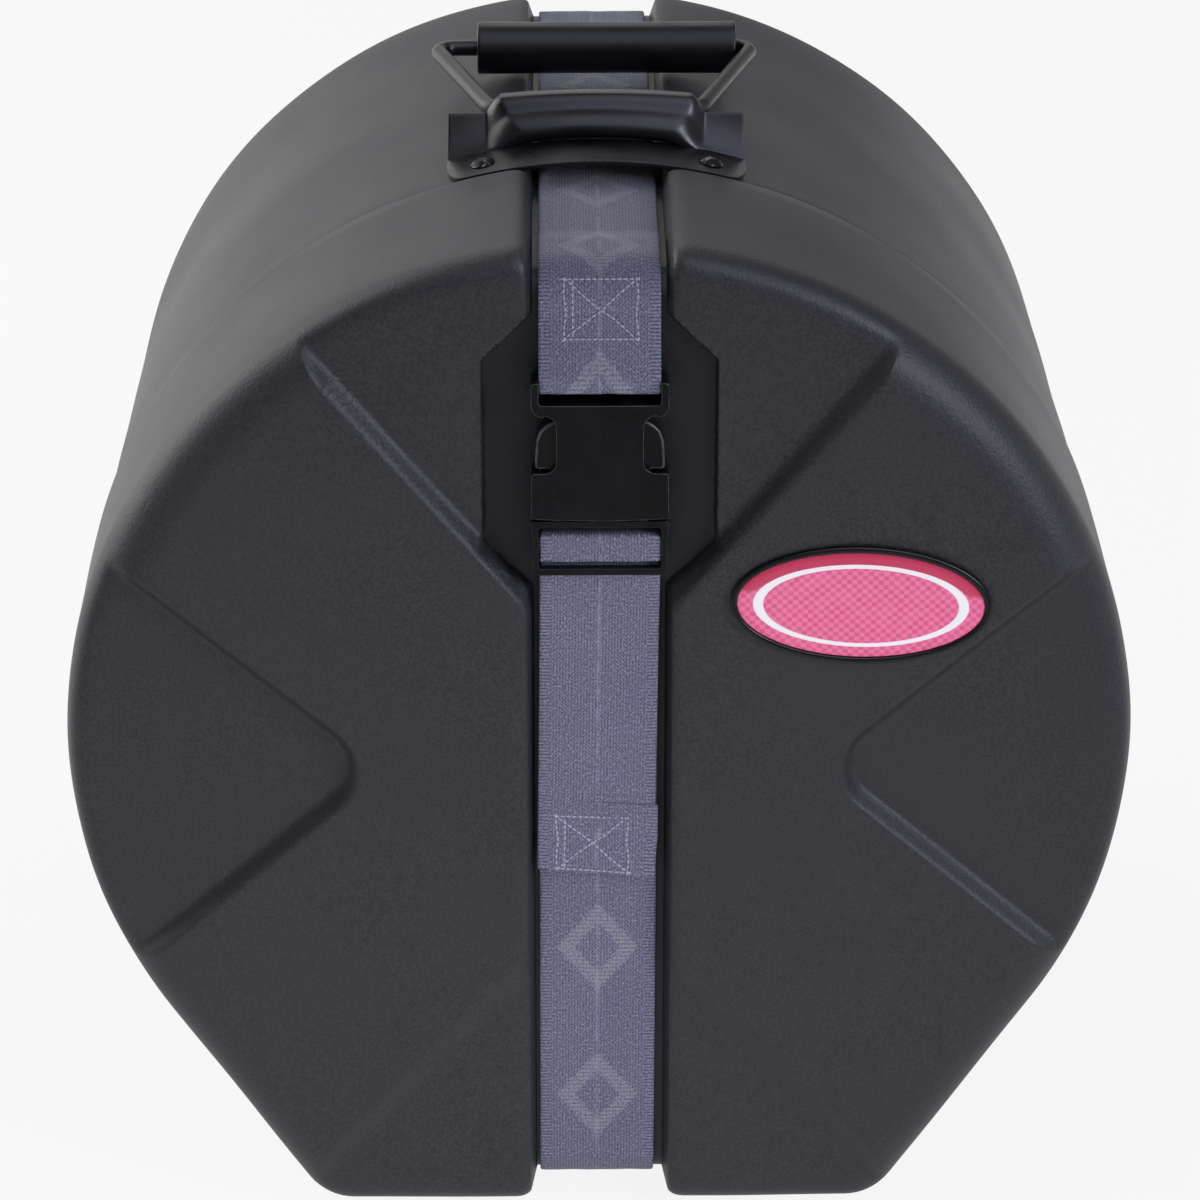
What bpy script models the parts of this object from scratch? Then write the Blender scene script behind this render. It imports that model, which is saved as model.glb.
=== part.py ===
"""Drum case: two moulded shells, a webbing strap with a side-release buckle, and a bail handle.

Metres, +Z up. The case stands on its flat bottom at z = 0, its lid faces -Y, and the
origin is under the middle of the whole case.
"""

import math

import bmesh
import bpy
from mathutils import Matrix, Vector

# Shells: the outline is a circle with two straight flanks down to a flat bottom
LID_RADIUS = 0.222
LID_STEP = 0.002
BODY_DRAFT = 0.003
AXIS_HEIGHT = 0.220
FLANK_ANGLE = math.radians(33.8)
FOOT_RADIUS = 0.025
RIM_RADIUS = 0.022
SHELL_DEPTH = 0.388
LID_DEPTH = 0.112
WALL = 0.0045
NECK_LENGTH = 0.022
NECK_ROOT = 0.007
NECK_WALL = 0.004
NECK_CLEARANCE = 0.0008
TOUCH = 0.0003
OVERRUN = 0.010
ARC_STEPS = 48
FOOT_STEPS = 5
RIM_STEPS = 5
SMOOTH_ANGLE = math.radians(35.0)

# Strap channel, and the panels sunk into the lid's face on either side of it
CHANNEL_HALF = 0.027
CHANNEL_DEPTH = 0.012
CHANNEL_BEND = 0.014
CHANNEL_DRAFT = math.radians(12.0)
BEND_STEPS = 6
PANEL_DEPTH = 0.008
CORNER_DEPTH = 0.005
PANEL_DRAFT = math.radians(32.0)
POCKET_DRAFT = math.radians(14.0)
V_TIP_RISE = 0.030
V_TIP_HEIGHT = AXIS_HEIGHT + V_TIP_RISE
V_SLOPE = math.radians(50.4)
WEDGE_TIP = 0.0866
WEDGE_DROP = 0.005
WEDGE_HEIGHT = AXIS_HEIGHT - WEDGE_DROP
WEDGE_HALF_ANGLE = math.radians(41.0)
WEDGE_TIP_RADIUS = 0.027
WEDGE_STEPS = 6
FOLD_DROP = 0.054
FOLD_TOP = AXIS_HEIGHT - FOLD_DROP
FOLD_SLOPE = math.radians(48.5)
PANEL_REACH = LID_RADIUS + OVERRUN
BUCKLE_DROP = 0.113
BUCKLE_LINE = AXIS_HEIGHT + LID_RADIUS - BUCKLE_DROP
BUCKLE_POCKET_HALF = 0.050
BUCKLE_POCKET_BELOW = 0.016
BUCKLE_POCKET_ABOVE = 0.066
BUCKLE_POCKET_CHAMFER = 0.023

# Badge: a moulded oval bezel round a plain oval plate
BADGE_SHARE = 0.48
BADGE_RISE = 0.0705
BADGE_X = LID_RADIUS * BADGE_SHARE
BADGE_Z = AXIS_HEIGHT + BADGE_RISE
BADGE_TILT = math.radians(-2.0)
BEZEL_HALF_WIDTH = 0.0535
BEZEL_HALF_HEIGHT = 0.026
BEZEL_THICKNESS = 0.0022
BEZEL_LIP = 0.0026
BEZEL_FLOOR = 0.0008
PLATE_THICKNESS = 0.0010
BADGE_SEGMENTS = 40

# Foam lining
FOAM_DISC = 0.024
FOAM_SIDE = 0.015
FOAM_NECK_GAP = 0.004

# Webbing
WEB_WIDTH = 0.049
WEB_THICKNESS = 0.0018
WEB_GAP = 0.0003
WEB_BEND_STEPS = 5

# Side-release buckle; its halves meet at BUCKLE_LINE, and depths count forward from the channel's floor
BUCKLE_HALF_WIDTH = 0.0277
BUCKLE_THICKNESS = 0.013
BUCKLE_STANDOFF = 0.0026
BUCKLE_EDGE = 0.0010
MOULD_CLEARANCE = 0.0004
FEMALE_LENGTH = 0.060
FEMALE_TOP = BUCKLE_LINE + FEMALE_LENGTH
EAR_LENGTH = 0.0096
EAR_WIDTH = 0.0031
FEMALE_SHOULDER = FEMALE_TOP - EAR_LENGTH
WEB_BAR_RADIUS = 0.0020
WEB_BAR_SEGMENTS = 12
WEB_BAR_SETBACK = 0.0025
WEB_BAR_HEIGHT = FEMALE_TOP - WEB_BAR_SETBACK
WINDOW_RISE = 0.021
WINDOW_LENGTH = 0.020
WINDOW_LOW = BUCKLE_LINE + WINDOW_RISE
WINDOW_HIGH = WINDOW_LOW + WINDOW_LENGTH
WAIST_HALF = 0.0176
SOCKET_HALF = 0.0240
SOCKET_END = 0.0054
SOCKET_TOP = FEMALE_SHOULDER - SOCKET_END
SOCKET_THICKNESS = 0.0088
MALE_LENGTH = 0.0241
MALE_TOP = BUCKLE_LINE - MOULD_CLEARANCE
MALE_BOTTOM = MALE_TOP - MALE_LENGTH
MALE_THICKNESS = 0.009
MALE_END_HALF = 0.0268
TOP_BAR = 0.0031
UPPER_SLOT = 0.0055
CENTRE_BAR = 0.0085
LOWER_SLOT = 0.0042
CENTRE_BAR_THICKNESS = 0.003
FRONT_BAR_THICKNESS = 0.004
BLADE_HALF = 0.0065
BLADE_LENGTH = 0.0394
BLADE_TOP = MALE_TOP + BLADE_LENGTH
PRONG_INNER = 0.0145
PRONG_WIDTH = 0.0050
PRONG_HOOK = 0.0015
PRONG_TIP = WINDOW_HIGH + PRONG_HOOK
PRONG_PIVOT_RISE = 0.0015
PRONG_OUTER = 0.0263
MALE_SLOT_HALF = WEB_WIDTH / 2 + MOULD_CLEARANCE

# Strap tail below the buckle
TAIL_DROP = 0.055
TAIL_END = AXIS_HEIGHT - TAIL_DROP
TAIL_FOLD = 0.033
FOLD_SLACK = 0.00003
LOOP_LENGTH = 0.0125
LOOP_START = MALE_BOTTOM - LOOP_LENGTH

# Handle
BRACKET_HALF_WIDTH = 0.0625
BRACKET_SETBACK = 0.0020
BRACKET_FRONT_FLANGE = 0.030
BRACKET_RAMP = 0.012
BRACKET_BRIDGE = 0.013
BRACKET_BACK_FLANGE = 0.017
BRACKET_SHEET = 0.0016
SHOULDER_LEVEL = 0.0090
HUMP_LIP = 0.0070
HUMP_RISE = 0.0175
HUMP_HALF = 0.0405
HUMP_RAMP = 0.006
BRACKET_CORNER = 0.008
WIRE_RADIUS = 0.0035
BAIL_PIVOT_SETBACK = 0.006
BAIL_PIVOT_RISE = 0.0093
BAIL_BAR_HALF = 0.0443
BAIL_GRIP_HALF = 0.0705
BAIL_REACH = 0.0875
BAIL_BAR_BEND = 0.009
BAIL_GRIP_BEND = 0.007
GRIP_RADIUS = 0.0115
GRIP_BORE = 0.0041
GRIP_FLARE = 0.0082
GRIP_FLARE_LENGTH = 0.009
GRIP_LENGTH = 0.114
GRIP_OFFSET = 0.0055
GRIP_CHAMFER = 0.0010
GRIP_SEGMENTS = 24

# Handle rivets
RIVET_SPREAD = 0.0475
RIVET_FRONT_SETBACK = 0.0125
RIVET_BACK_SETBACK = 0.0085
RIVET_HEAD_RADIUS = 0.0052
RIVET_HEAD_HEIGHT = 0.0020
HEAD_SHARES = ((0.35, 1.0), (0.72, 0.72), (1.0, 0.0))
RIVET_SHANK = 0.0024
RIVET_TAIL_RADIUS = 0.0040
RIVET_TAIL_HEIGHT = 0.0018
RIVET_TAIL_TAPER_SHARE = 0.8
RIVET_CLEARANCE = 0.0003
WASHER_RADIUS = 0.0065
WASHER_SEAT = 0.0005
WASHER_THICKNESS = 0.0012
FOAM_POCKET_RADIUS = 0.0085
FOAM_POCKET_DEPTH = 0.0060
RIVET_SEGMENTS = 12

# Places that follow from the sizes above
FLOOR_TO_FRONT = BUCKLE_STANDOFF + BUCKLE_THICKNESS
BUCKLE_PROUD = FLOOR_TO_FRONT - CHANNEL_DEPTH
Y_BACK = (SHELL_DEPTH + BUCKLE_PROUD) / 2
Y_FACE = Y_BACK - SHELL_DEPTH
Y_SEAM = Y_FACE + LID_DEPTH
Y_CHANNEL = Y_FACE + CHANNEL_DEPTH
BODY_RADIUS = LID_RADIUS - LID_STEP
CHANNEL_TOP = AXIS_HEIGHT + LID_RADIUS - CHANNEL_DEPTH
BUCKLE_MID = BUCKLE_STANDOFF + BUCKLE_THICKNESS / 2
LAYER = WEB_THICKNESS + WEB_GAP
FIRST_LAYER = WEB_GAP + WEB_THICKNESS / 2
SECOND_LAYER = FIRST_LAYER + LAYER


def clear_scene():
    for item in list(bpy.data.objects):
        bpy.data.objects.remove(item, do_unlink=True)


def linear(channel):
    return channel / 12.92 if channel <= 0.04045 else ((channel + 0.055) / 1.055) ** 2.4


def make_material(name, colour, roughness, metallic=0.0):
    """A Principled material from an sRGB hex colour."""
    material = bpy.data.materials.new(name)
    material.use_nodes = True
    shader = material.node_tree.nodes["Principled BSDF"]
    red, green, blue = (linear(int(colour[k:k + 2], 16) / 255) for k in (0, 2, 4))
    shader.inputs["Base Color"].default_value = (red, green, blue, 1.0)
    shader.inputs["Roughness"].default_value = roughness
    shader.inputs["Metallic"].default_value = metallic
    return material


def make_object(name, points, faces, material=None):
    """A mesh object with its faces turned outwards."""
    mesh = bpy.data.meshes.new(name)
    mesh.from_pydata([tuple(p) for p in points], [], faces)
    shape = bmesh.new()
    shape.from_mesh(mesh)
    bmesh.ops.recalc_face_normals(shape, faces=shape.faces)
    shape.to_mesh(mesh)
    shape.free()
    mesh.shade_smooth()
    mesh.set_sharp_from_angle(angle=SMOOTH_ANGLE)
    item = bpy.data.objects.new(name, mesh)
    bpy.context.scene.collection.objects.link(item)
    if material:
        mesh.materials.append(material)
    return item


def ring_faces(rings, count, closed_loop=False):
    """Quads between rings of points; the end rings are capped unless the rings meet in a loop."""
    faces = []
    for ring in range(rings if closed_loop else rings - 1):
        below = (ring + 1) % rings
        for k in range(count):
            after = (k + 1) % count
            faces.append((ring * count + k, below * count + k, below * count + after, ring * count + after))
    if not closed_loop:
        faces.append(tuple(range(count)))
        faces.append(tuple(range((rings - 1) * count, rings * count)))
    return faces


def as_cutter(item):
    item.hide_render = True
    item.display_type = "WIRE"
    return item


def combine(item, other, operation="DIFFERENCE"):
    """Cut or join another solid as a live modifier."""
    modifier = item.modifiers.new(other.name, "BOOLEAN")
    modifier.operation = operation
    modifier.object = as_cutter(other)
    return item


def bevel(item, width):
    modifier = item.modifiers.new("edge", "BEVEL")
    modifier.width = width
    modifier.segments = 2
    modifier.limit_method = "ANGLE"
    modifier.angle_limit = SMOOTH_ANGLE


def arc(centre, radius, start, end, steps):
    """Points on an arc, ends included."""
    turn = (end - start) / steps
    return [
        (centre[0] + radius * math.cos(start + turn * k), centre[1] + radius * math.sin(start + turn * k))
        for k in range(steps + 1)
    ]


def rounded(corners, steps, closed=False):
    """A polyline with arcs at its corners; each corner is (u, v, radius)."""
    count = len(corners)
    path = []
    for k, (u, v, radius) in enumerate(corners):
        here = Vector((u, v))
        if radius == 0 or (not closed and k in (0, count - 1)):
            path.append((u, v))
            continue
        back = (Vector(corners[k - 1][:2]) - here).normalized()
        ahead = (Vector(corners[(k + 1) % count][:2]) - here).normalized()
        half = back.angle(ahead) / 2
        reach = radius / math.tan(half)
        centre = here + (back + ahead).normalized() * (radius / math.sin(half))
        first = here + back * reach - centre
        last = here + ahead * reach - centre
        start = math.atan2(first.y, first.x)
        sweep = (math.atan2(last.y, last.x) - start + math.pi) % (2 * math.pi) - math.pi
        path += arc(centre, radius, start, start + sweep, steps)
    return path


def shell_outline(radius, inset=0.0):
    """The case's outline in x and z, moved inwards by the inset."""
    corner = FOOT_RADIUS
    slope = math.sin(FLANK_ANGLE)
    foot_x = (radius - corner + slope * (corner - AXIS_HEIGHT)) / math.cos(FLANK_ANGLE)
    down = -math.pi / 2
    outline = arc((0, AXIS_HEIGHT), radius - inset, -FLANK_ANGLE, math.pi + FLANK_ANGLE, ARC_STEPS)
    outline += arc((-foot_x, corner), corner - inset, math.pi + FLANK_ANGLE, math.pi - down, FOOT_STEPS)
    outline += arc((foot_x, corner), corner - inset, down, -FLANK_ANGLE, FOOT_STEPS)
    return outline


def body_radius(y):
    """The body's radius shrinks evenly from the seam to the back."""
    share = (y - Y_SEAM) / (Y_BACK - RIM_RADIUS - Y_SEAM)
    return BODY_RADIUS - BODY_DRAFT * min(max(share, 0.0), 1.0)


def loft(name, sections, material=None):
    """A closed solid through sections of equal count, each (y, [(x, z), ...])."""
    points = [(x, y, z) for y, outline in sections for x, z in outline]
    return make_object(name, points, ring_faces(len(sections), len(sections[0][1])), material)


def rim(y_side, toward, radius, inset):
    """Sections round the rim, from the side wall to the flat face."""
    sweep = RIM_RADIUS - inset
    for k in range(RIM_STEPS + 1):
        turn = math.pi / 2 * k / RIM_STEPS
        y = y_side + toward * sweep * math.sin(turn)
        yield y, shell_outline(radius, inset + sweep * (1 - math.cos(turn)))


def channel_corners(offset):
    """The channel floor's loop in y and z, moved outwards by the offset."""
    bend = CHANNEL_BEND + offset
    front = Y_CHANNEL - offset
    back = Y_BACK - CHANNEL_DEPTH + offset
    low = CHANNEL_DEPTH - offset
    high = CHANNEL_TOP + offset
    return [
        (front, low, bend),
        (front, high, bend),
        (Y_SEAM, high, 0),
        (back, high - BODY_DRAFT, bend),
        (back, low, bend),
    ]


def channel(name, wall=0.0):
    """A closed band round the case that cuts the strap's channel, or its wall's inner side."""
    height = CHANNEL_DEPTH + wall + OVERRUN
    inner = rounded(channel_corners(-wall), BEND_STEPS, closed=True)
    outer = rounded(channel_corners(height - wall), BEND_STEPS, closed=True)
    low_half = CHANNEL_HALF + wall
    high_half = low_half + height * math.tan(CHANNEL_DRAFT)
    points = []
    for (y, z), (far_y, far_z) in zip(inner, outer):
        points += [(-low_half, y, z), (low_half, y, z), (high_half, far_y, far_z), (-high_half, far_y, far_z)]
    return as_cutter(make_object(name, points, ring_faces(len(inner), 4, closed_loop=True)))


def offset_outline(outline, distance):
    """Move a counter-clockwise outline outwards by a distance, keeping its corners mitred."""
    moved = []
    for k, point in enumerate(outline):
        here = Vector(point)
        before = (here - Vector(outline[k - 1])).normalized()
        after = (Vector(outline[(k + 1) % len(outline)]) - here).normalized()
        normal_before = Vector((before.y, -before.x))
        normal_after = Vector((after.y, -after.x))
        middle = (normal_before + normal_after).normalized()
        moved.append(tuple(here + middle * (distance / middle.dot(normal_before))))
    return moved


def pocket(name, outline, depth, draft, wall=0.0):
    """A drafted cutter sunk into the lid's face, or its wall's inner side."""
    low = offset_outline(outline, wall)
    high = offset_outline(outline, wall + (depth + OVERRUN) * math.tan(draft))
    sections = [(Y_FACE - OVERRUN, high), (Y_FACE + depth + wall, low)]
    return as_cutter(loft(name, sections))


def v_outline():
    rise = PANEL_REACH * math.tan(V_SLOPE)
    high = V_TIP_HEIGHT + rise
    return [(0, V_TIP_HEIGHT), (PANEL_REACH, high), (-PANEL_REACH, high)]


def wedge_outline(side):
    """A wedge that opens to the side, with a rounded tip towards the strap."""
    rise = PANEL_REACH * math.tan(WEDGE_HALF_ANGLE)
    far = WEDGE_TIP + PANEL_REACH
    corners = [
        (WEDGE_TIP, WEDGE_HEIGHT, WEDGE_TIP_RADIUS),
        (far, WEDGE_HEIGHT - rise, 0),
        (far, WEDGE_HEIGHT + rise, 0),
    ]
    outline = rounded(corners, WEDGE_STEPS, closed=True)
    return outline if side > 0 else [(-x, z) for x, z in reversed(outline)]


def corner_outline(side):
    """A triangle between the channel and the bottom rim."""
    run = (FOLD_TOP + OVERRUN) / math.tan(FOLD_SLOPE)
    outline = [(0, -OVERRUN), (run, -OVERRUN), (0, FOLD_TOP)]
    return outline if side > 0 else [(-x, z) for x, z in reversed(outline)]


def buckle_pocket_outline():
    half = BUCKLE_POCKET_HALF
    low = BUCKLE_LINE - BUCKLE_POCKET_BELOW
    high = BUCKLE_LINE + BUCKLE_POCKET_ABOVE
    cut = BUCKLE_POCKET_CHAMFER
    waist = half - cut
    return [
        (waist, low - cut),
        (half, low),
        (half, high),
        (waist, high + cut),
        (-waist, high + cut),
        (-half, high),
        (-half, low),
        (-waist, low - cut),
    ]


def face_cutters(prefix, wall):
    """Everything sunk into the lid's face, and the strap's channel."""
    cutters = [
        pocket(prefix + "_v_panel", v_outline(), PANEL_DEPTH, PANEL_DRAFT, wall),
        pocket(prefix + "_buckle", buckle_pocket_outline(), CHANNEL_DEPTH, POCKET_DRAFT, wall),
        channel(prefix + "_channel", wall),
    ]
    for side, word in ((-1, "left"), (1, "right")):
        cutters.append(pocket(f"{prefix}_wedge_{word}", wedge_outline(side), PANEL_DEPTH, PANEL_DRAFT, wall))
        cutters.append(pocket(f"{prefix}_corner_{word}", corner_outline(side), CORNER_DEPTH, PANEL_DRAFT, wall))
    return cutters


def make_lid(plastic):
    """The front shell: one moulded skin whose inner side follows its outer side."""
    y_side = Y_FACE + RIM_RADIUS
    sections = list(rim(y_side, -1, LID_RADIUS, 0.0))[::-1]
    sections.append((Y_SEAM, shell_outline(LID_RADIUS)))
    lid = loft("case_lid", sections, plastic)
    hollow_sections = list(rim(y_side, -1, LID_RADIUS, WALL))[::-1]
    hollow_sections.append((Y_SEAM + OVERRUN, shell_outline(LID_RADIUS, WALL)))
    hollow = loft("lid_hollow", hollow_sections)
    for cutter in face_cutters("lid_inner", WALL):
        combine(hollow, cutter)
    for cutter in face_cutters("lid_outer", 0.0):
        combine(lid, cutter)
    combine(lid, hollow)


def rivet_places():
    """Each handle rivet's name, turn about the case's axis, and y."""
    lean = math.asin(RIVET_SPREAD / BODY_RADIUS)
    front = bracket_front() + RIVET_FRONT_SETBACK
    back = bracket_back() - RIVET_BACK_SETBACK
    for side, word in ((-1, "left"), (1, "right")):
        yield f"front_{word}", side * lean, front
        yield f"back_{word}", side * lean, back


def make_body(plastic):
    """The back shell, with a neck that the lid slides over."""
    y_side = Y_BACK - RIM_RADIUS
    back_radius = BODY_RADIUS - BODY_DRAFT
    sections = [(Y_SEAM, shell_outline(BODY_RADIUS))] + list(rim(y_side, 1, back_radius, 0.0))
    body = loft("case_body", sections, plastic)
    combine(body, channel("body_channel"))

    neck_inset = WALL + NECK_CLEARANCE
    y_neck = Y_SEAM - NECK_LENGTH
    y_root = Y_SEAM + NECK_ROOT
    neck_outline = shell_outline(LID_RADIUS, neck_inset)
    neck = loft("body_neck", [(y_neck, neck_outline), (y_root, neck_outline)])
    combine(neck, channel("neck_channel", neck_inset))
    combine(body, neck, "UNION")

    mouth_inset = neck_inset + NECK_WALL
    mouth_outline = shell_outline(LID_RADIUS, mouth_inset)
    mouth = loft("body_mouth", [(y_neck - OVERRUN, mouth_outline), (y_root + OVERRUN, mouth_outline)])
    combine(mouth, channel("mouth_channel", mouth_inset))
    combine(body, mouth)

    hollow_sections = [(y_root, shell_outline(body_radius(y_root), WALL))]
    hollow_sections += list(rim(y_side, 1, back_radius, WALL))
    hollow = loft("body_hollow", hollow_sections)
    combine(hollow, channel("hollow_channel", WALL))
    combine(body, hollow)
    for name, lean, y in rivet_places():
        combine(body, rivet_bore(f"body_bore_{name}", lean, y))


def make_foam(foam):
    """The lining: a ring round the drum's shell and a pad at each head."""
    y_disc = Y_BACK - WALL - TOUCH
    y_side = Y_BACK - RIM_RADIUS
    back_radius = BODY_RADIUS - BODY_DRAFT
    skin = WALL + TOUCH
    back_edge = shell_outline(back_radius, RIM_RADIUS)
    front_edge = shell_outline(back_radius, skin)
    y_front = y_disc - FOAM_DISC
    disc = loft("back_foam", [(y_front, front_edge), (y_side, front_edge), (y_disc, back_edge)], foam)
    combine(disc, channel("back_foam_channel", skin))

    y_ring_back = y_front - TOUCH
    y_ring_front = Y_SEAM + NECK_ROOT + FOAM_NECK_GAP
    ring_sections = [(y, shell_outline(body_radius(y), skin)) for y in (y_ring_front, y_ring_back)]
    ring = loft("side_foam", ring_sections, foam)
    bore_sections = [
        (y_ring_front - OVERRUN, shell_outline(body_radius(y_ring_front), skin + FOAM_SIDE)),
        (y_ring_back + OVERRUN, shell_outline(body_radius(y_ring_back), skin + FOAM_SIDE)),
    ]
    combine(ring, channel("side_foam_channel", skin))
    combine(ring, loft("side_foam_bore", bore_sections))
    for name, lean, y in rivet_places():
        top = body_radius(y) + TOUCH
        bottom = body_radius(y) - skin - FOAM_POCKET_DEPTH
        combine(ring, post(f"foam_pocket_{name}", FOAM_POCKET_RADIUS, bottom, top, lean, y))

    y_pad = Y_FACE + PANEL_DEPTH + WALL + TOUCH
    y_lid_side = Y_FACE + RIM_RADIUS
    pad_edge = shell_outline(LID_RADIUS, skin)
    pad_face = shell_outline(LID_RADIUS, skin + PANEL_DEPTH)
    pad = loft("lid_foam", [(y_pad, pad_face), (y_lid_side, pad_edge), (y_pad + FOAM_DISC, pad_edge)], foam)
    combine(pad, channel("lid_foam_channel", skin))
    combine(pad, pocket("lid_foam_pocket", buckle_pocket_outline(), CHANNEL_DEPTH, POCKET_DRAFT, skin))


def ellipse(half_width, half_height):
    """The badge's outline in x and z, tilted, counter-clockwise."""
    outline = []
    for k in range(BADGE_SEGMENTS):
        turn = 2 * math.pi * k / BADGE_SEGMENTS
        u = half_width * math.cos(turn)
        v = half_height * math.sin(turn)
        x = BADGE_X + u * math.cos(BADGE_TILT) - v * math.sin(BADGE_TILT)
        z = BADGE_Z + u * math.sin(BADGE_TILT) + v * math.cos(BADGE_TILT)
        outline.append((x, z))
    return outline


def make_badge(bezel_plastic, enamel):
    y_seat = Y_FACE - TOUCH
    y_top = y_seat - BEZEL_THICKNESS
    y_floor = y_seat - BEZEL_FLOOR
    outer = ellipse(BEZEL_HALF_WIDTH, BEZEL_HALF_HEIGHT)
    crest = ellipse(BEZEL_HALF_WIDTH - BEZEL_LIP / 3, BEZEL_HALF_HEIGHT - BEZEL_LIP / 3)
    inner = ellipse(BEZEL_HALF_WIDTH - BEZEL_LIP, BEZEL_HALF_HEIGHT - BEZEL_LIP)
    sections = [(y_floor, inner), (y_top, inner), (y_top, crest), (y_top + BEZEL_THICKNESS / 3, outer), (y_seat, outer)]
    loft("badge_bezel", sections, bezel_plastic)
    fit = BEZEL_LIP + TOUCH
    face = ellipse(BEZEL_HALF_WIDTH - fit, BEZEL_HALF_HEIGHT - fit)
    crown = ellipse(BEZEL_HALF_WIDTH - fit - PLATE_THICKNESS, BEZEL_HALF_HEIGHT - fit - PLATE_THICKNESS)
    y_plate = y_floor - TOUCH
    y_edge = y_plate - PLATE_THICKNESS / 2
    loft("badge_plate", [(y_plate - PLATE_THICKNESS, crown), (y_edge, face), (y_plate, face)], enamel)


def ribbon(name, path, material):
    """Webbing along a path in y and z."""
    points = []
    half = WEB_THICKNESS / 2
    for k, point in enumerate(path):
        here = Vector(point)
        before = (here - Vector(path[k - 1])).normalized() if k else None
        after = (Vector(path[k + 1]) - here).normalized() if k < len(path) - 1 else None
        before = before or after
        after = after or before
        normals = [Vector((-way.y, way.x)) for way in (before, after)]
        middle = (normals[0] + normals[1]).normalized()
        shift = middle * (half / middle.dot(normals[0]))
        for side in (-1, 1):
            for sign in (-side, side):
                y, z = here + shift * side
                points.append((sign * WEB_WIDTH / 2, y, z))
    return make_object(name, points, ring_faces(len(path), 4), material)


def make_back_strap(webbing):
    """The strap's stretch over, behind and under the body."""
    seam, back_high, back_low = channel_corners(FIRST_LAYER)[2:]
    start = Y_SEAM + TOUCH
    corners = [(start, seam[1], 0), back_high, back_low, (start, back_low[1], 0)]
    ribbon("strap_back", rounded(corners, WEB_BEND_STEPS), webbing)


def make_upper_strap(webbing):
    """From the seam over the lid's top, down its face and round the buckle's bar."""
    wrap = WEB_BAR_RADIUS + WEB_GAP + WEB_THICKNESS / 2
    z_high = CHANNEL_TOP + FIRST_LAYER
    corner_high = z_high + LAYER
    y_front = Y_CHANNEL - SECOND_LAYER
    y_bar = Y_CHANNEL - BUCKLE_MID
    bend_start = CHANNEL_TOP - CHANNEL_BEND
    step = CHANNEL_BEND
    corners = [
        (Y_SEAM - TOUCH, z_high, 0),
        (Y_FACE + LID_DEPTH / 2, z_high, step),
        (Y_FACE + LID_DEPTH / 2 - step, corner_high, step),
        (y_front, corner_high, CHANNEL_BEND + SECOND_LAYER),
        (y_front, bend_start - LAYER, WEB_BAR_RADIUS),
        (y_bar - wrap, WEB_BAR_HEIGHT + wrap, WEB_BAR_RADIUS),
        (y_bar - wrap, WEB_BAR_HEIGHT - wrap, wrap - TOUCH),
        (y_bar + wrap, WEB_BAR_HEIGHT - wrap, wrap - TOUCH),
        (y_bar + wrap, WEB_BAR_HEIGHT + wrap, WEB_BAR_RADIUS),
        (Y_CHANNEL - FIRST_LAYER, (WEB_BAR_HEIGHT + bend_start) / 2 + wrap, WEB_BAR_RADIUS),
        (Y_CHANNEL - FIRST_LAYER, bend_start + WEB_THICKNESS, 0),
    ]
    ribbon("strap_upper", rounded(corners, WEB_BEND_STEPS), webbing)


def male_slots():
    """Heights of the male half's bars and slots, from the top down."""
    upper_high = MALE_TOP - TOP_BAR
    upper_low = upper_high - UPPER_SLOT
    lower_high = upper_low - CENTRE_BAR
    lower_low = lower_high - LOWER_SLOT
    return upper_high, upper_low, lower_high, lower_low


def make_lower_strap(webbing):
    """From the seam under the lid, up its face, through the buckle's slots and down as the tail."""
    upper_high, upper_low, lower_high, lower_low = male_slots()
    half = WEB_THICKNESS / 2
    z_low = CHANNEL_DEPTH - FIRST_LAYER
    standing = Y_CHANNEL - FIRST_LAYER
    behind = Y_CHANNEL - (BUCKLE_MID - MALE_THICKNESS / 2) + TOUCH + half
    over = Y_CHANNEL - (BUCKLE_MID + CENTRE_BAR_THICKNESS / 2) - WEB_GAP - half
    front_bar = Y_CHANNEL - (BUCKLE_MID + MALE_THICKNESS / 2) + FRONT_BAR_THICKNESS
    through = front_bar + WEB_GAP + half
    tail = Y_CHANNEL - SECOND_LAYER - LAYER
    fold = Y_CHANNEL - SECOND_LAYER
    z_up = upper_low + WEB_GAP + half
    z_down = lower_high - WEB_GAP - half
    turn = half + TOUCH
    fold_turn = (fold - tail) / 2 - FOLD_SLACK
    corners = [
        (Y_SEAM - TOUCH, z_low, 0),
        (standing, z_low, CHANNEL_BEND + FIRST_LAYER),
        (standing, LOOP_START, CHANNEL_BEND),
        (behind, MALE_BOTTOM, CHANNEL_BEND),
        (behind, z_up, turn),
        (over, z_up, turn),
        (over, z_down, turn),
        (through, z_down, turn),
        (through, MALE_BOTTOM, CHANNEL_BEND),
        (tail, LOOP_START - CHANNEL_BEND, CHANNEL_BEND),
        (tail, TAIL_END + half, fold_turn),
        (fold, TAIL_END + half, fold_turn),
        (fold, TAIL_END + TAIL_FOLD, 0),
    ]
    ribbon("strap_lower", rounded(corners, WEB_BEND_STEPS), webbing)


def slab(name, outline, mid_depth, thickness, material=None):
    """An outline in x and z given a thickness about a depth in front of the channel's floor."""
    middle = Y_CHANNEL - mid_depth
    sections = [(middle - thickness / 2, outline), (middle + thickness / 2, outline)]
    return loft(name, sections, material)


def box_outline(half_width, low, high, centre=0.0):
    return [
        (centre - half_width, low),
        (centre + half_width, low),
        (centre + half_width, high),
        (centre - half_width, high),
    ]


def mirrored(right):
    """Close a right-hand outline that runs upwards with its mirror image."""
    return right + [(-x, z) for x, z in reversed(right)]


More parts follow.
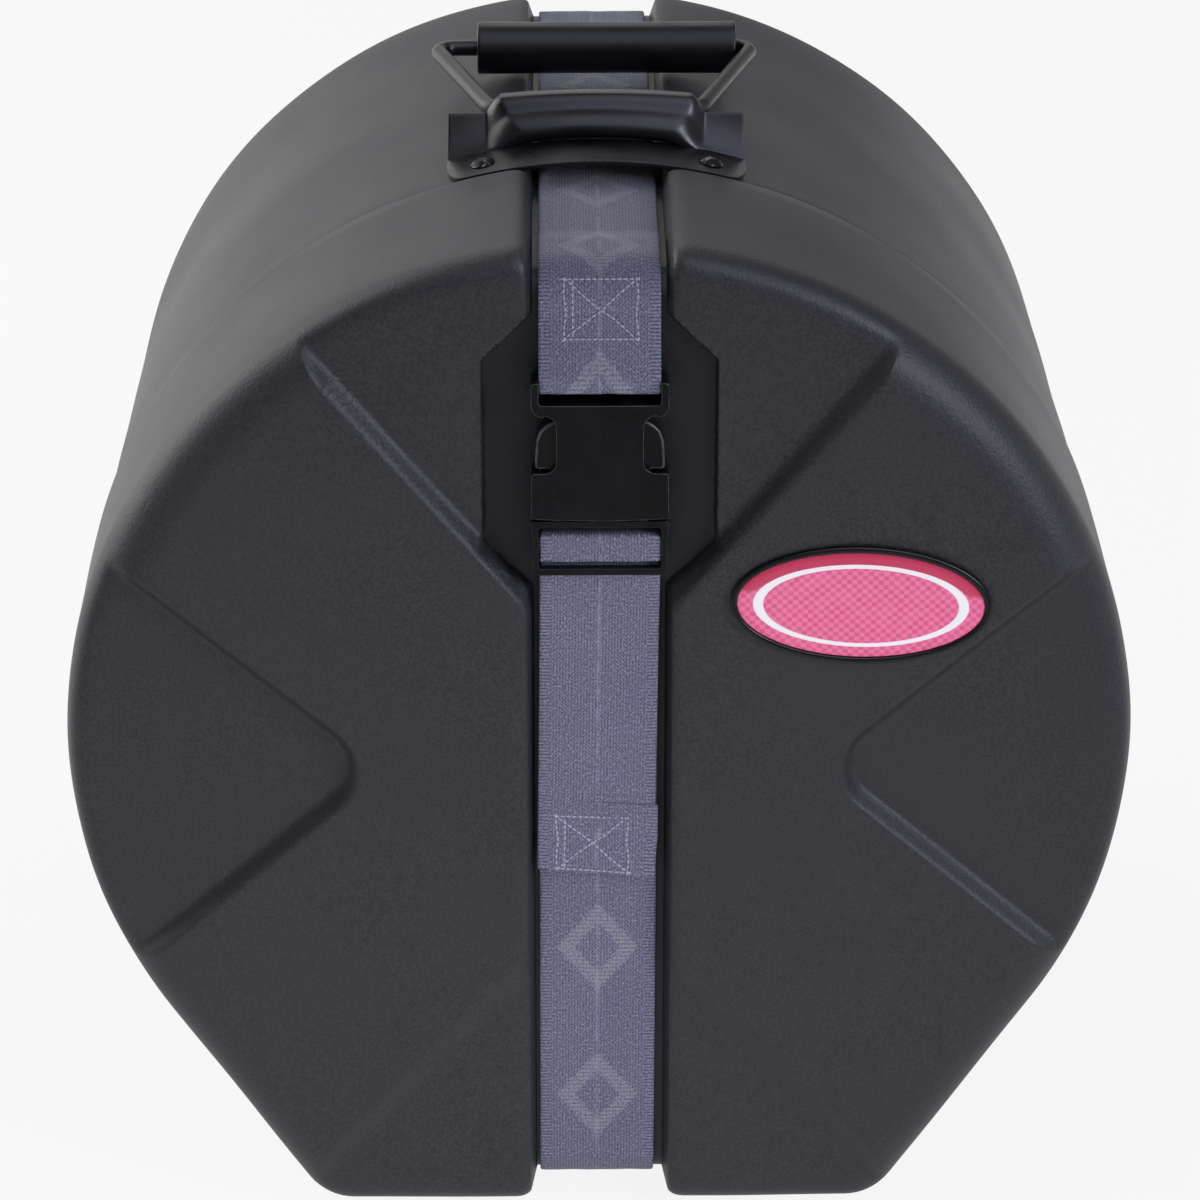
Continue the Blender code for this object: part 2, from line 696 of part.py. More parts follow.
def female_outline():
    """The female half: full-width ears and socket, with a waist at the release windows."""
    half = BUCKLE_HALF_WIDTH
    waist = WAIST_HALF
    sweep = half - waist
    high = WINDOW_HIGH
    low = WINDOW_LOW
    hook = sweep / 2
    right = [(half, BUCKLE_LINE), (half, low - BUCKLE_EDGE), (half - BUCKLE_EDGE, low)]
    right += arc((waist + hook, low + hook), hook, -math.pi / 2, -math.pi, WEB_BEND_STEPS)
    right += arc((waist + hook, high), hook, math.pi, math.pi / 2, WEB_BEND_STEPS)
    right += arc((half - hook, FEMALE_SHOULDER), hook, -math.pi / 2, 0, WEB_BEND_STEPS)
    right += [(half, FEMALE_TOP - BUCKLE_EDGE), (half - BUCKLE_EDGE, FEMALE_TOP)]
    return mirrored(right)


def make_female(nylon):
    """The half on the upper strap: a socket, two ears and the bar that the webbing goes round."""
    female = slab("buckle_female", female_outline(), BUCKLE_MID, BUCKLE_THICKNESS, nylon)
    bevel(female, BUCKLE_EDGE)
    ear_gap = BUCKLE_HALF_WIDTH - EAR_WIDTH
    notch = slab("female_notch", box_outline(ear_gap, FEMALE_SHOULDER, FEMALE_TOP + OVERRUN), BUCKLE_MID,
                 BUCKLE_THICKNESS + OVERRUN)
    combine(female, notch)
    reach = BUCKLE_HALF_WIDTH - EAR_WIDTH / 2
    centre = (Y_CHANNEL - BUCKLE_MID, WEB_BAR_HEIGHT)
    circle = arc(centre, WEB_BAR_RADIUS, 0, 2 * math.pi, WEB_BAR_SEGMENTS)[:-1]
    points = [(x, y, z) for x in (-reach, reach) for y, z in circle]
    combine(female, make_object("female_bar", points, ring_faces(2, WEB_BAR_SEGMENTS)), "UNION")
    socket = slab("female_socket", box_outline(SOCKET_HALF, BUCKLE_LINE - OVERRUN, SOCKET_TOP), BUCKLE_MID,
                  SOCKET_THICKNESS)
    combine(female, socket)


def make_male(nylon):
    """The half on the lower strap: a ladder frame for the webbing and a guide blade."""
    top = BUCKLE_HALF_WIDTH
    end = MALE_END_HALF
    corner = TOP_BAR
    right = [(end - corner, MALE_BOTTOM), (end, MALE_BOTTOM + corner), (top, MALE_TOP)]
    male = slab("buckle_male", mirrored(right), BUCKLE_MID, MALE_THICKNESS, nylon)
    bevel(male, BUCKLE_EDGE)
    upper_high, upper_low, lower_high, lower_low = male_slots()
    deep = MALE_THICKNESS + OVERRUN
    combine(male, slab("male_upper_slot", box_outline(MALE_SLOT_HALF, upper_low, upper_high), BUCKLE_MID, deep))
    combine(male, slab("male_lower_slot", box_outline(MALE_SLOT_HALF, lower_low, lower_high), BUCKLE_MID, deep))
    relief = (MALE_THICKNESS - CENTRE_BAR_THICKNESS) / 2 + OVERRUN
    centre_band = box_outline(MALE_SLOT_HALF, lower_high - TOUCH, upper_low + TOUCH)
    for sign, word in ((-1, "back"), (1, "front")):
        depth = BUCKLE_MID + sign * (CENTRE_BAR_THICKNESS + relief) / 2
        combine(male, slab(f"male_bar_{word}", centre_band, depth, relief))
    behind_bar = box_outline(MALE_SLOT_HALF, MALE_BOTTOM - OVERRUN, lower_low + TOUCH)
    back_cut = MALE_THICKNESS - FRONT_BAR_THICKNESS + OVERRUN
    back_depth = BUCKLE_MID + MALE_THICKNESS / 2 - FRONT_BAR_THICKNESS - back_cut / 2
    combine(male, slab("male_tail_gap", behind_bar, back_depth, back_cut))
    blade_thickness = SOCKET_THICKNESS - 2 * MOULD_CLEARANCE
    tip = BLADE_HALF / 2
    blade_right = [(BLADE_HALF, MALE_TOP - TOP_BAR / 2), (BLADE_HALF, BLADE_TOP - tip), (tip, BLADE_TOP)]
    blade = slab("male_blade", mirrored(blade_right), BUCKLE_MID, blade_thickness)
    combine(male, blade, "UNION")
    notch_depth = TOP_BAR - BUCKLE_EDGE
    for side, word in ((-1, "left"), (1, "right")):
        centre = side * (PRONG_INNER + PRONG_WIDTH / 2)
        seat = box_outline(PRONG_WIDTH / 2 + MOULD_CLEARANCE, MALE_TOP - notch_depth, MALE_TOP + OVERRUN, centre)
        combine(male, slab(f"male_prong_seat_{word}", seat, BUCKLE_MID, SOCKET_THICKNESS))


def prong_pivot():
    """The spring root's x and z on the right-hand side."""
    return PRONG_INNER + PRONG_WIDTH / 2, MALE_TOP + PRONG_PIVOT_RISE


def make_prong(side, word, nylon):
    """A spring arm with its release pad; its origin is on its flexing root."""
    pivot_x, pivot_z = prong_pivot()
    inner = PRONG_INNER
    outer = inner + PRONG_WIDTH
    pad_low = WINDOW_LOW + MOULD_CLEARANCE * 2
    pad_high = WINDOW_HIGH - MOULD_CLEARANCE * 2
    root = MALE_TOP - TOP_BAR + BUCKLE_EDGE + MOULD_CLEARANCE
    pad = PRONG_OUTER
    outline = [
        (inner, root),
        (outer, root),
        (outer, pad_low - BUCKLE_EDGE),
        (outer + BUCKLE_EDGE, pad_low),
        (pad - BUCKLE_EDGE, pad_low),
        (pad, pad_low + BUCKLE_EDGE),
        (pad - BUCKLE_EDGE, (pad_low + pad_high) / 2),
        (outer + BUCKLE_EDGE, pad_high),
        (outer - BUCKLE_EDGE, PRONG_TIP),
        (inner + BUCKLE_EDGE, PRONG_TIP),
        (inner, pad_high),
    ]
    middle = Y_CHANNEL - BUCKLE_MID
    local = [(side * (x - pivot_x), z - pivot_z) for x, z in outline]
    half = SOCKET_THICKNESS / 2 - MOULD_CLEARANCE
    prong = loft(f"buckle_prong_{word}", [(-half, local), (half, local)], nylon)
    prong.location = (side * pivot_x, middle, pivot_z)


def bracket_front():
    return Y_SEAM + BRACKET_SETBACK


def bracket_edge():
    """Where the shoulders end, in front of the bail."""
    return bracket_front() + BRACKET_FRONT_FLANGE + BRACKET_RAMP


def bracket_back():
    return bracket_edge() + BRACKET_BRIDGE + BRACKET_SHEET + BRACKET_BACK_FLANGE


def pivot_place():
    """The bail pivot's y and z."""
    y = bracket_edge() + BAIL_PIVOT_SETBACK
    return y, AXIS_HEIGHT + body_radius(y) + BAIL_PIVOT_RISE


def body_top(x, y):
    """The height of the bracket's seat on the curved top of the body."""
    radius = body_radius(y) + TOUCH
    return AXIS_HEIGHT + math.sqrt(radius ** 2 - x ** 2)


def ease(share):
    return share * share * (3 - 2 * share)


def corner_cut(y):
    """How far the bracket's rounded corners draw its sides in at y."""
    near = min(y - bracket_front(), bracket_back() - y, BRACKET_CORNER)
    return BRACKET_CORNER - math.sqrt(BRACKET_CORNER ** 2 - (BRACKET_CORNER - near) ** 2)


def make_bracket(steel):
    """One pressing: flanges front and back, raised shoulders, and a bridge over the bail's bar."""
    front = bracket_front()
    fold = front + BRACKET_FRONT_FLANGE
    edge = bracket_edge()
    crest = edge + BRACKET_BRIDGE
    back = bracket_back()
    shoulder = HUMP_HALF + HUMP_RAMP
    shoulder_shares = (1.0, 0.55, 0.12)
    hump_shares = (1.0, 0.75, 0.5, 0.25, 0.0)
    ramp_shares = (0.0, 0.2, 0.4, 0.6, 0.8, 1.0)
    corner_shares = (0.0, 0.12, 0.45, 1.0)
    right = [shoulder + (BRACKET_HALF_WIDTH - shoulder) * share for share in shoulder_shares]
    right += [shoulder, HUMP_HALF + HUMP_RAMP / 2]
    right += [HUMP_HALF * share for share in hump_shares]
    columns = [-x for x in right] + [x for x in reversed(right[:-1])]
    level = body_top(0, edge) + SHOULDER_LEVEL
    points = []
    place = {}
    faces = []

    def vertex(key, x, y, rise):
        if key not in place:
            place[key] = len(points)
            points.append((x, y, body_top(x, y) + rise))
        return place[key]

    flange_rows = [front + BRACKET_CORNER * share for share in corner_shares] + [fold]
    ramp_rows = [fold + BRACKET_RAMP * share for share in ramp_shares]
    over_rows = [
        (edge + BRACKET_BRIDGE / 2, HUMP_RISE),
        (crest - BRACKET_SHEET, HUMP_RISE - BRACKET_SHEET / 2),
        (crest, HUMP_RISE - BRACKET_SHEET * 2),
        (crest, 0.0),
    ]
    first_flange_row = len(over_rows) - 1
    over_rows += [(back - BRACKET_CORNER * share, 0.0) for share in reversed(corner_shares)]

    def ramp_rise(x, y):
        share = (y - fold) / BRACKET_RAMP
        low = (level - body_top(x, edge)) * ease(share)
        high = HUMP_LIP + (HUMP_RISE - HUMP_LIP) * math.sin(math.pi / 2 * share)
        across = ease(min(max((shoulder - abs(x)) / HUMP_RAMP, 0.0), 1.0))
        return low + (high - low) * across

    def drawn_in(x, y):
        return x * (1 - corner_cut(y) / BRACKET_HALF_WIDTH)

    def flange(column, row):
        y = flange_rows[row]
        return vertex(("flange", column, row), drawn_in(columns[column], y), y, 0.0)

    def ramp(column, row):
        x = columns[column]
        if row == 0 and abs(x) > shoulder - TOUCH:
            return flange(column, len(flange_rows) - 1)
        return vertex(("ramp", column, row), x, ramp_rows[row], ramp_rise(x, ramp_rows[row]))

    def over(column, row):
        if row < 0:
            return ramp(column, len(ramp_rows) - 1)
        y, rise = over_rows[row]
        return vertex(("over", column, row), drawn_in(columns[column], y), y, rise)

    def patch(corner, column, row):
        faces.append((corner(column, row), corner(column + 1, row),
                      corner(column + 1, row + 1), corner(column, row + 1)))

    for column in range(len(columns) - 1):
        for row in range(len(flange_rows) - 1):
            patch(flange, column, row)
        for row in range(len(ramp_rows) - 1):
            patch(ramp, column, row)
        on_bridge = max(abs(columns[column]), abs(columns[column + 1])) < HUMP_HALF + TOUCH
        for row in range(-1, len(over_rows) - 1):
            if row >= first_flange_row or on_bridge:
                patch(over, column, row)

    bracket = make_object("handle_bracket", points, faces, steel)
    shape = bmesh.new()
    shape.from_mesh(bracket.data)
    if sum(face.normal.z for face in shape.faces if face.calc_center_median().y < fold) < 0:
        bmesh.ops.reverse_faces(shape, faces=shape.faces)
    shape.to_mesh(bracket.data)
    shape.free()
    sheet = bracket.modifiers.new("sheet", "SOLIDIFY")
    sheet.thickness = BRACKET_SHEET
    sheet.offset = 1.0
    for name, lean, y in rivet_places():
        combine(bracket, rivet_bore(f"bracket_bore_{name}", lean, y))


def post(name, radius, bottom, top, lean, y):
    """A round cutter along a radius of the case."""
    circle = arc((0, y), radius, 0, 2 * math.pi, RIVET_SEGMENTS)[:-1]
    points = [(x, way, height) for height in (bottom, top) for x, way in circle]
    return lean_out(as_cutter(make_object(name, points, ring_faces(2, RIVET_SEGMENTS))), lean)


def lean_out(item, lean):
    """Turn an upright piece, drawn with heights as radii, about the case's axis."""
    item.data.transform(Matrix.Translation((0, 0, AXIS_HEIGHT)) @ Matrix.Rotation(lean, 4, "Y"))
    return item


def rivet_bore(name, lean, y):
    low = body_radius(y) - WALL - OVERRUN
    high = body_radius(y) + OVERRUN
    return post(name, RIVET_SHANK + RIVET_CLEARANCE, low, high, lean, y)


def turned(name, profile, y, lean, material, closed_loop=False):
    """A turned piece on a radius of the case; the profile is (radius, height) from the top down."""
    points = []
    for radius, height in profile:
        for k in range(RIVET_SEGMENTS):
            turn = 2 * math.pi * k / RIVET_SEGMENTS
            points.append((radius * math.cos(turn), y + radius * math.sin(turn), height))
    faces = ring_faces(len(profile), RIVET_SEGMENTS, closed_loop)
    return lean_out(make_object(name, points, faces, material), lean)


def make_rivets(steel):
    """Four rivets through the bracket and the body, each set on a washer inside."""
    for name, lean, y in rivet_places():
        outside = body_radius(y)
        seat = outside + TOUCH + BRACKET_SHEET + TOUCH
        inside = outside - WALL
        washer_top = inside - WASHER_SEAT
        washer_low = washer_top - WASHER_THICKNESS
        tail_top = washer_low - TOUCH
        profile = [(RIVET_HEAD_RADIUS * wide, seat + RIVET_HEAD_HEIGHT * tall) for wide, tall in HEAD_SHARES]
        profile += [
            (RIVET_SHANK, seat),
            (RIVET_SHANK, tail_top),
            (RIVET_TAIL_RADIUS, tail_top),
            (RIVET_TAIL_RADIUS * RIVET_TAIL_TAPER_SHARE, tail_top - RIVET_TAIL_HEIGHT),
        ]
        turned(f"handle_rivet_{name}", profile, y, lean, steel)
        hole = RIVET_SHANK + RIVET_CLEARANCE
        ring = [(hole, washer_top), (WASHER_RADIUS, washer_top), (WASHER_RADIUS, washer_low), (hole, washer_low)]
        turned(f"rivet_washer_{name}", ring, y, lean, steel, closed_loop=True)


def bail_angle():
    """How far the folded bail tips up from level when its grip rests on the shell."""
    y, z = pivot_place()
    y_grip = y + BAIL_REACH
    rest = body_radius(y_grip) + TOUCH
    edge = CHANNEL_HALF + CHANNEL_DEPTH * math.tan(CHANNEL_DRAFT)
    lobe = AXIS_HEIGHT + math.sqrt(rest ** 2 - edge ** 2)
    return math.asin((lobe + GRIP_RADIUS - z) / BAIL_REACH)


def make_bail(steel):
    """A closed loop of round wire: a bar in the bracket, splayed arms and a straight side for the grip."""
    corners = [
        (-BAIL_BAR_HALF, 0, BAIL_BAR_BEND),
        (BAIL_BAR_HALF, 0, BAIL_BAR_BEND),
        (BAIL_GRIP_HALF, BAIL_REACH, BAIL_GRIP_BEND),
        (-BAIL_GRIP_HALF, BAIL_REACH, BAIL_GRIP_BEND),
    ]
    loop = rounded(corners, BEND_STEPS, closed=True)
    data = bpy.data.curves.new("handle_bail", "CURVE")
    data.dimensions = "3D"
    data.bevel_depth = WIRE_RADIUS
    data.bevel_resolution = 2
    spline = data.splines.new("POLY")
    spline.points.add(len(loop) - 1)
    for point, (x, y) in zip(spline.points, loop):
        point.co = (x, y, 0, 1)
    spline.use_cyclic_u = True
    data.materials.append(steel)
    bail = bpy.data.objects.new("handle_bail", data)
    bpy.context.scene.collection.objects.link(bail)
    y, z = pivot_place()
    bail.location = (0, y, z)
    bail.rotation_euler = (bail_angle(), 0, 0)
    return bail


def make_grip(bail, vinyl):
    """A thick sleeve on the bail's straight side, flared inside where the wire bends."""
    half = GRIP_LENGTH / 2
    bevelled = GRIP_RADIUS - GRIP_CHAMFER
    profile = [
        (GRIP_BORE, GRIP_FLARE_LENGTH - half),
        (GRIP_FLARE, -half),
        (bevelled, -half),
        (GRIP_RADIUS, GRIP_CHAMFER - half),
        (GRIP_RADIUS, half - GRIP_CHAMFER),
        (bevelled, half),
        (GRIP_FLARE, half),
        (GRIP_BORE, half - GRIP_FLARE_LENGTH),
    ]
    points = []
    for radius, along in profile:
        for k in range(GRIP_SEGMENTS):
            turn = 2 * math.pi * k / GRIP_SEGMENTS
            points.append((along, radius * math.cos(turn), radius * math.sin(turn)))
    faces = ring_faces(len(profile), GRIP_SEGMENTS, closed_loop=True)
    grip = make_object("handle_grip", points, faces, vinyl)
    grip.parent = bail
    grip.location = (GRIP_OFFSET, BAIL_REACH, 0)


def main():
    clear_scene()
    shell_plastic = make_material("moulded_polyethylene", "333436", 0.55)
    foam = make_material("lining_foam", "1d1e20", 0.9)
    webbing = make_material("nylon_webbing", "6e6f80", 0.75)
    nylon = make_material("buckle_nylon", "1b1c1e", 0.35)
    black_steel = make_material("black_steel", "1c1d21", 0.4, 0.6)
    rivet_steel = make_material("rivet_steel", "55575a", 0.35, 0.9)
    vinyl = make_material("grip_vinyl", "15161a", 0.4)
    bezel_plastic = make_material("bezel_plastic", "121315", 0.3)
    enamel = make_material("badge_enamel", "cf3b63", 0.3)

    make_body(shell_plastic)
    make_lid(shell_plastic)
    make_foam(foam)
    make_badge(bezel_plastic, enamel)
    make_back_strap(webbing)
    make_upper_strap(webbing)
    make_lower_strap(webbing)
    make_female(nylon)
    make_male(nylon)
    make_prong(-1, "left", nylon)
    make_prong(1, "right", nylon)
    make_bracket(black_steel)
    make_rivets(rivet_steel)
    bail = make_bail(black_steel)
    make_grip(bail, vinyl)


main()
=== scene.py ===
"""Drum case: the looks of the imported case. Metres, +Z up, lid towards -Y."""

import math

import bmesh
import bpy
import numpy as np
from mathutils import Matrix, Vector


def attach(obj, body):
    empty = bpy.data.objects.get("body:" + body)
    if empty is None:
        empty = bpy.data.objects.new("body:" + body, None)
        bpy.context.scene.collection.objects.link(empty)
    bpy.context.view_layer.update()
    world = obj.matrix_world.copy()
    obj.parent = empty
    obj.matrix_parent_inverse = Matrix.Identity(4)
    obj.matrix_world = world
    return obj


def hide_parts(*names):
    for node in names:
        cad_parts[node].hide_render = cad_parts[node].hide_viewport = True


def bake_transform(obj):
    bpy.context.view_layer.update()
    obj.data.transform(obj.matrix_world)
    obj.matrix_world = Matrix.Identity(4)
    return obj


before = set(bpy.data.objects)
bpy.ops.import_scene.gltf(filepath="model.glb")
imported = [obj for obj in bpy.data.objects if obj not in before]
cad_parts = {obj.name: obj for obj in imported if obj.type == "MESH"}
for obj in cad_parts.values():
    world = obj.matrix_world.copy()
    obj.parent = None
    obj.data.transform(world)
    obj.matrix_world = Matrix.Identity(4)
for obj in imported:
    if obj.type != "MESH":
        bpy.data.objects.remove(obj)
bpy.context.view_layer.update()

# Shells
LID_RADIUS = 0.222
BODY_RADIUS = 0.220
BODY_DRAFT = 0.003
AXIS_HEIGHT = 0.220
FLANK = math.radians(33.8)
FOOT_RADIUS = 0.025
RIM = 0.022
WALL = 0.0045
LIP = 0.0011
Y_FACE = -0.1922
Y_BACK = 0.1958
Y_SEAM = -0.0802
Y_NECK = -0.1022
Y_ROOT = -0.0732
NECK_INSET = 0.0053
MOUTH_INSET = 0.0093
CAP_DEPTH = 0.0170
CAP_STEP = 0.0008
RIPPLE = 0.00012
RIPPLE_SWELLS = (((61, 0, 37), 1.3), ((-29, 47, 83), 0.4), ((43, 71, 0), 2.1))

# Foam
FOAM_GAP = 0.0007
FOAM_THICK = 0.0146
FOAM_RIPPLE = 0.00025
FOAM_SWELLS = (((130, 90, 0), 0.0), ((0, -140, 110), 1.0), ((75, 0, 95), 2.0))
PAD_GAP = 0.0004
BACK_PAD_REACH = 0.0288
LID_PAD_REACH = 0.0366

# Strap channel
CHANNEL_HALF = 0.027
CHANNEL_EDGE = 0.0293
CHANNEL_CREST = 0.036
CHANNEL_BROW = 0.30
CHANNEL_DEPTH = 0.012
CHANNEL_BEND = 0.014
CHANNEL_TOP = 0.430
Y_CHANNEL = Y_FACE + CHANNEL_DEPTH

# Panels sunk into the face
V_TIP = 0.250
V_SLOPE = math.radians(50.2)
V_DEPTH = 0.008
V_WALL = 0.0075
WEDGE_TIP = 0.0866
WEDGE_Z = 0.215
WEDGE_ANGLE = math.radians(41.0)
WEDGE_ROUND = 0.024
WEDGE_DEPTH = 0.0075
WEDGE_WALL = 0.0075
FOLD_TOP = 0.166
FOLD_SLOPE = math.radians(48.5)
FOLD_DEPTH = 0.0045
FOLD_WALL = 0.012
POCKET_HALF = 0.050
POCKET_LOW = 0.313
POCKET_HIGH = 0.395
POCKET_WALL = 0.0035
CREASE = 0.006

# Badge
BADGE_X = 0.10656
BADGE_Z = 0.2905
BADGE_TILT = math.radians(-2.0)

# Webbing and buckle
WEB_WIDTH = 0.049
WEB_THICK = 0.0018
WEB_GAP = 0.0003
FIRST = WEB_GAP + WEB_THICK / 2
LAYER = WEB_GAP + WEB_THICK
BUCKLE_LINE = 0.329
BUCKLE_MID = 0.0091
BUCKLE_THICK = 0.013
FEMALE_TOP = 0.389
BAR_HEIGHT = 0.3865
BAR_RADIUS = 0.0020
MALE_TOP = 0.3286
MALE_BOTTOM = 0.3045
MALE_THICK = 0.009
PRONG_THICK = 0.0078
UPPER_SLOT = (0.3200, 0.3255)
LOWER_SLOT = (0.3073, 0.3115)
BAR_HALF = 0.0015
TAIL_END = 0.165
TAIL_FOLD = 0.033
TAIL_LENGTH = 0.145
TAIL_SLOT = 0.004
TAIL_LIFT = 0.0030
THREAD_LIFT = 0.00005

# Handle
BRACKET_FRONT = -0.0782
BRACKET_FOLD = -0.0482
BRACKET_EDGE = -0.0362
BRACKET_CREST = -0.0232
BRACKET_BACK = -0.0046
BRACKET_HALF = 0.0625
BRACKET_CORNER = 0.008
BRACKET_TAPER = 0.018
BRACKET_LEVEL = 0.0090
BRIDGE_HALF = 0.0405
BRIDGE_RAMP = 0.0465
BRIDGE_FLAT = 0.0265
BRIDGE_SPREAD = 0.0140
BRIDGE_RISE = 0.0175
SHEET = 0.0016
PIVOT_Y = -0.0302
PIVOT_Z = 0.44871
BAIL_REACH = 0.0875
BAIL_BAR = 0.0443
BAIL_SPREAD = 0.0705
WIRE = 0.0035
GRIP_RADIUS = 0.0115
GRIP_HALF = 0.057
GRIP_SHIFT = 0.0055

# How close pieces sit, how close points are the same, and a quarter turn
TOUCH = 0.0003
WELD = 2e-6
QUARTER = math.pi / 2


# The kinds of node that the finishes use most
NOISE, CELLS, BUMP = "ShaderNodeTexNoise", "ShaderNodeTexVoronoi", "ShaderNodeBump"
RANGE, MATH, BLEND = "ShaderNodeMapRange", "ShaderNodeMath", "ShaderNodeMix"


def linear(channel):
    """One sRGB channel as linear light."""
    return channel / 12.92 if channel <= 0.04045 else ((channel + 0.055) / 1.055) ** 2.4


def colour(code):
    """An sRGB hex colour as linear RGBA."""
    return tuple(linear(int(code[k:k + 2], 16) / 255) for k in (0, 2, 4)) + (1.0,)


def fill(tree, item, inputs):
    """Set a node's inputs by name or place; a socket, or a node's first live output, is linked."""
    for name, value in inputs.items():
        if isinstance(value, bpy.types.Node):
            value = next(out for out in value.outputs if out.enabled)
        if isinstance(value, bpy.types.NodeSocket):
            tree.links.new(value, item.inputs[name])
        else:
            item.inputs[name].default_value = value
    return item


def add(tree, kind, *values, named=None, **settings):
    """One node with its settings; the values go to its live inputs in order, or to those named."""
    item = tree.nodes.new(kind)
    for name, value in settings.items():
        setattr(item, name, value)
    live = [place for place, socket in enumerate(item.inputs) if socket.enabled]
    fill(tree, item, dict(zip(live, values)))
    return fill(tree, item, named or {})


def finish_named(name, uv_map=None):
    """A new material, its tree, its shader, and the place on the piece by which its patterns lie."""
    made = bpy.data.materials.new(name)
    made.use_nodes = True
    tree = made.node_tree
    if uv_map:
        place = add(tree, "ShaderNodeUVMap", uv_map=uv_map).outputs["UV"]
    else:
        place = add(tree, "ShaderNodeTexCoord").outputs["Object"]
    return made, tree, tree.nodes["Principled BSDF"], place


def layered(tree, base, *layers):
    """Colours laid over a base one after another, each with the share of it that shows."""
    for share, code in layers:
        base = add(tree, BLEND, share, base, colour(code), data_type="RGBA")
    return base


def per_metre(millimetres):
    """The texture scale at which a pattern repeats every so many millimetres."""
    return 1000.0 / millimetres


def waves(tree, value, pitch):
    """Ridges from -1 to 1 that repeat every pitch."""
    turns = add(tree, MATH, value, 2 * math.pi / pitch, operation="MULTIPLY")
    return add(tree, MATH, turns, operation="SINE")


def moulded_polyethylene():
    """Polyethylene moulded on a sand-textured tool: charcoal with a broad soft sheen and a fine grain."""
    made, tree, shader, place = finish_named("moulded_polyethylene")
    cloud = add(tree, NOISE, place, per_metre(90), 3.0)
    # The real grain is about 0.4 mm; it is drawn at 1.1 mm so that the render can show it.
    grain = add(tree, NOISE, place, per_metre(1.1), 2.0, 0.6)
    pebble = add(tree, CELLS, place, per_metre(1.6))
    speck = add(tree, RANGE, grain, 0.35, 0.7, 0.0, 1.0)
    patchy = add(tree, RANGE, cloud, 0.35, 0.65, 0.0, 0.35)
    # Painted shade: the deepest recesses, the buckle's pocket and the channel, are darkened by how recessed they
    # are.
    hollow = add(tree, "ShaderNodeAttribute", attribute_name="hollow").outputs["Fac"]
    painted_recess_shade = add(tree, RANGE, hollow, 0.7, 1.0, 0.0, 0.8)
    base = layered(tree, colour("222327"), (speck, "36373b"), (patchy, "2e2e33"), (painted_recess_shade, "101114"))
    rough = add(tree, MATH, add(tree, RANGE, cloud, 0.3, 0.7, 0.42, 0.50),
                add(tree, RANGE, grain, 0.3, 0.7, -0.03, 0.05), operation="ADD")
    relief = add(tree, MATH, pebble, 0.5, grain, operation="MULTIPLY_ADD")
    bump = add(tree, BUMP, named={"Height": relief, "Strength": 0.45, "Distance": 0.0004})
    fill(tree, shader, {"Base Color": base, "Roughness": rough, "Specular IOR Level": 0.42, "Normal": bump})
    return made


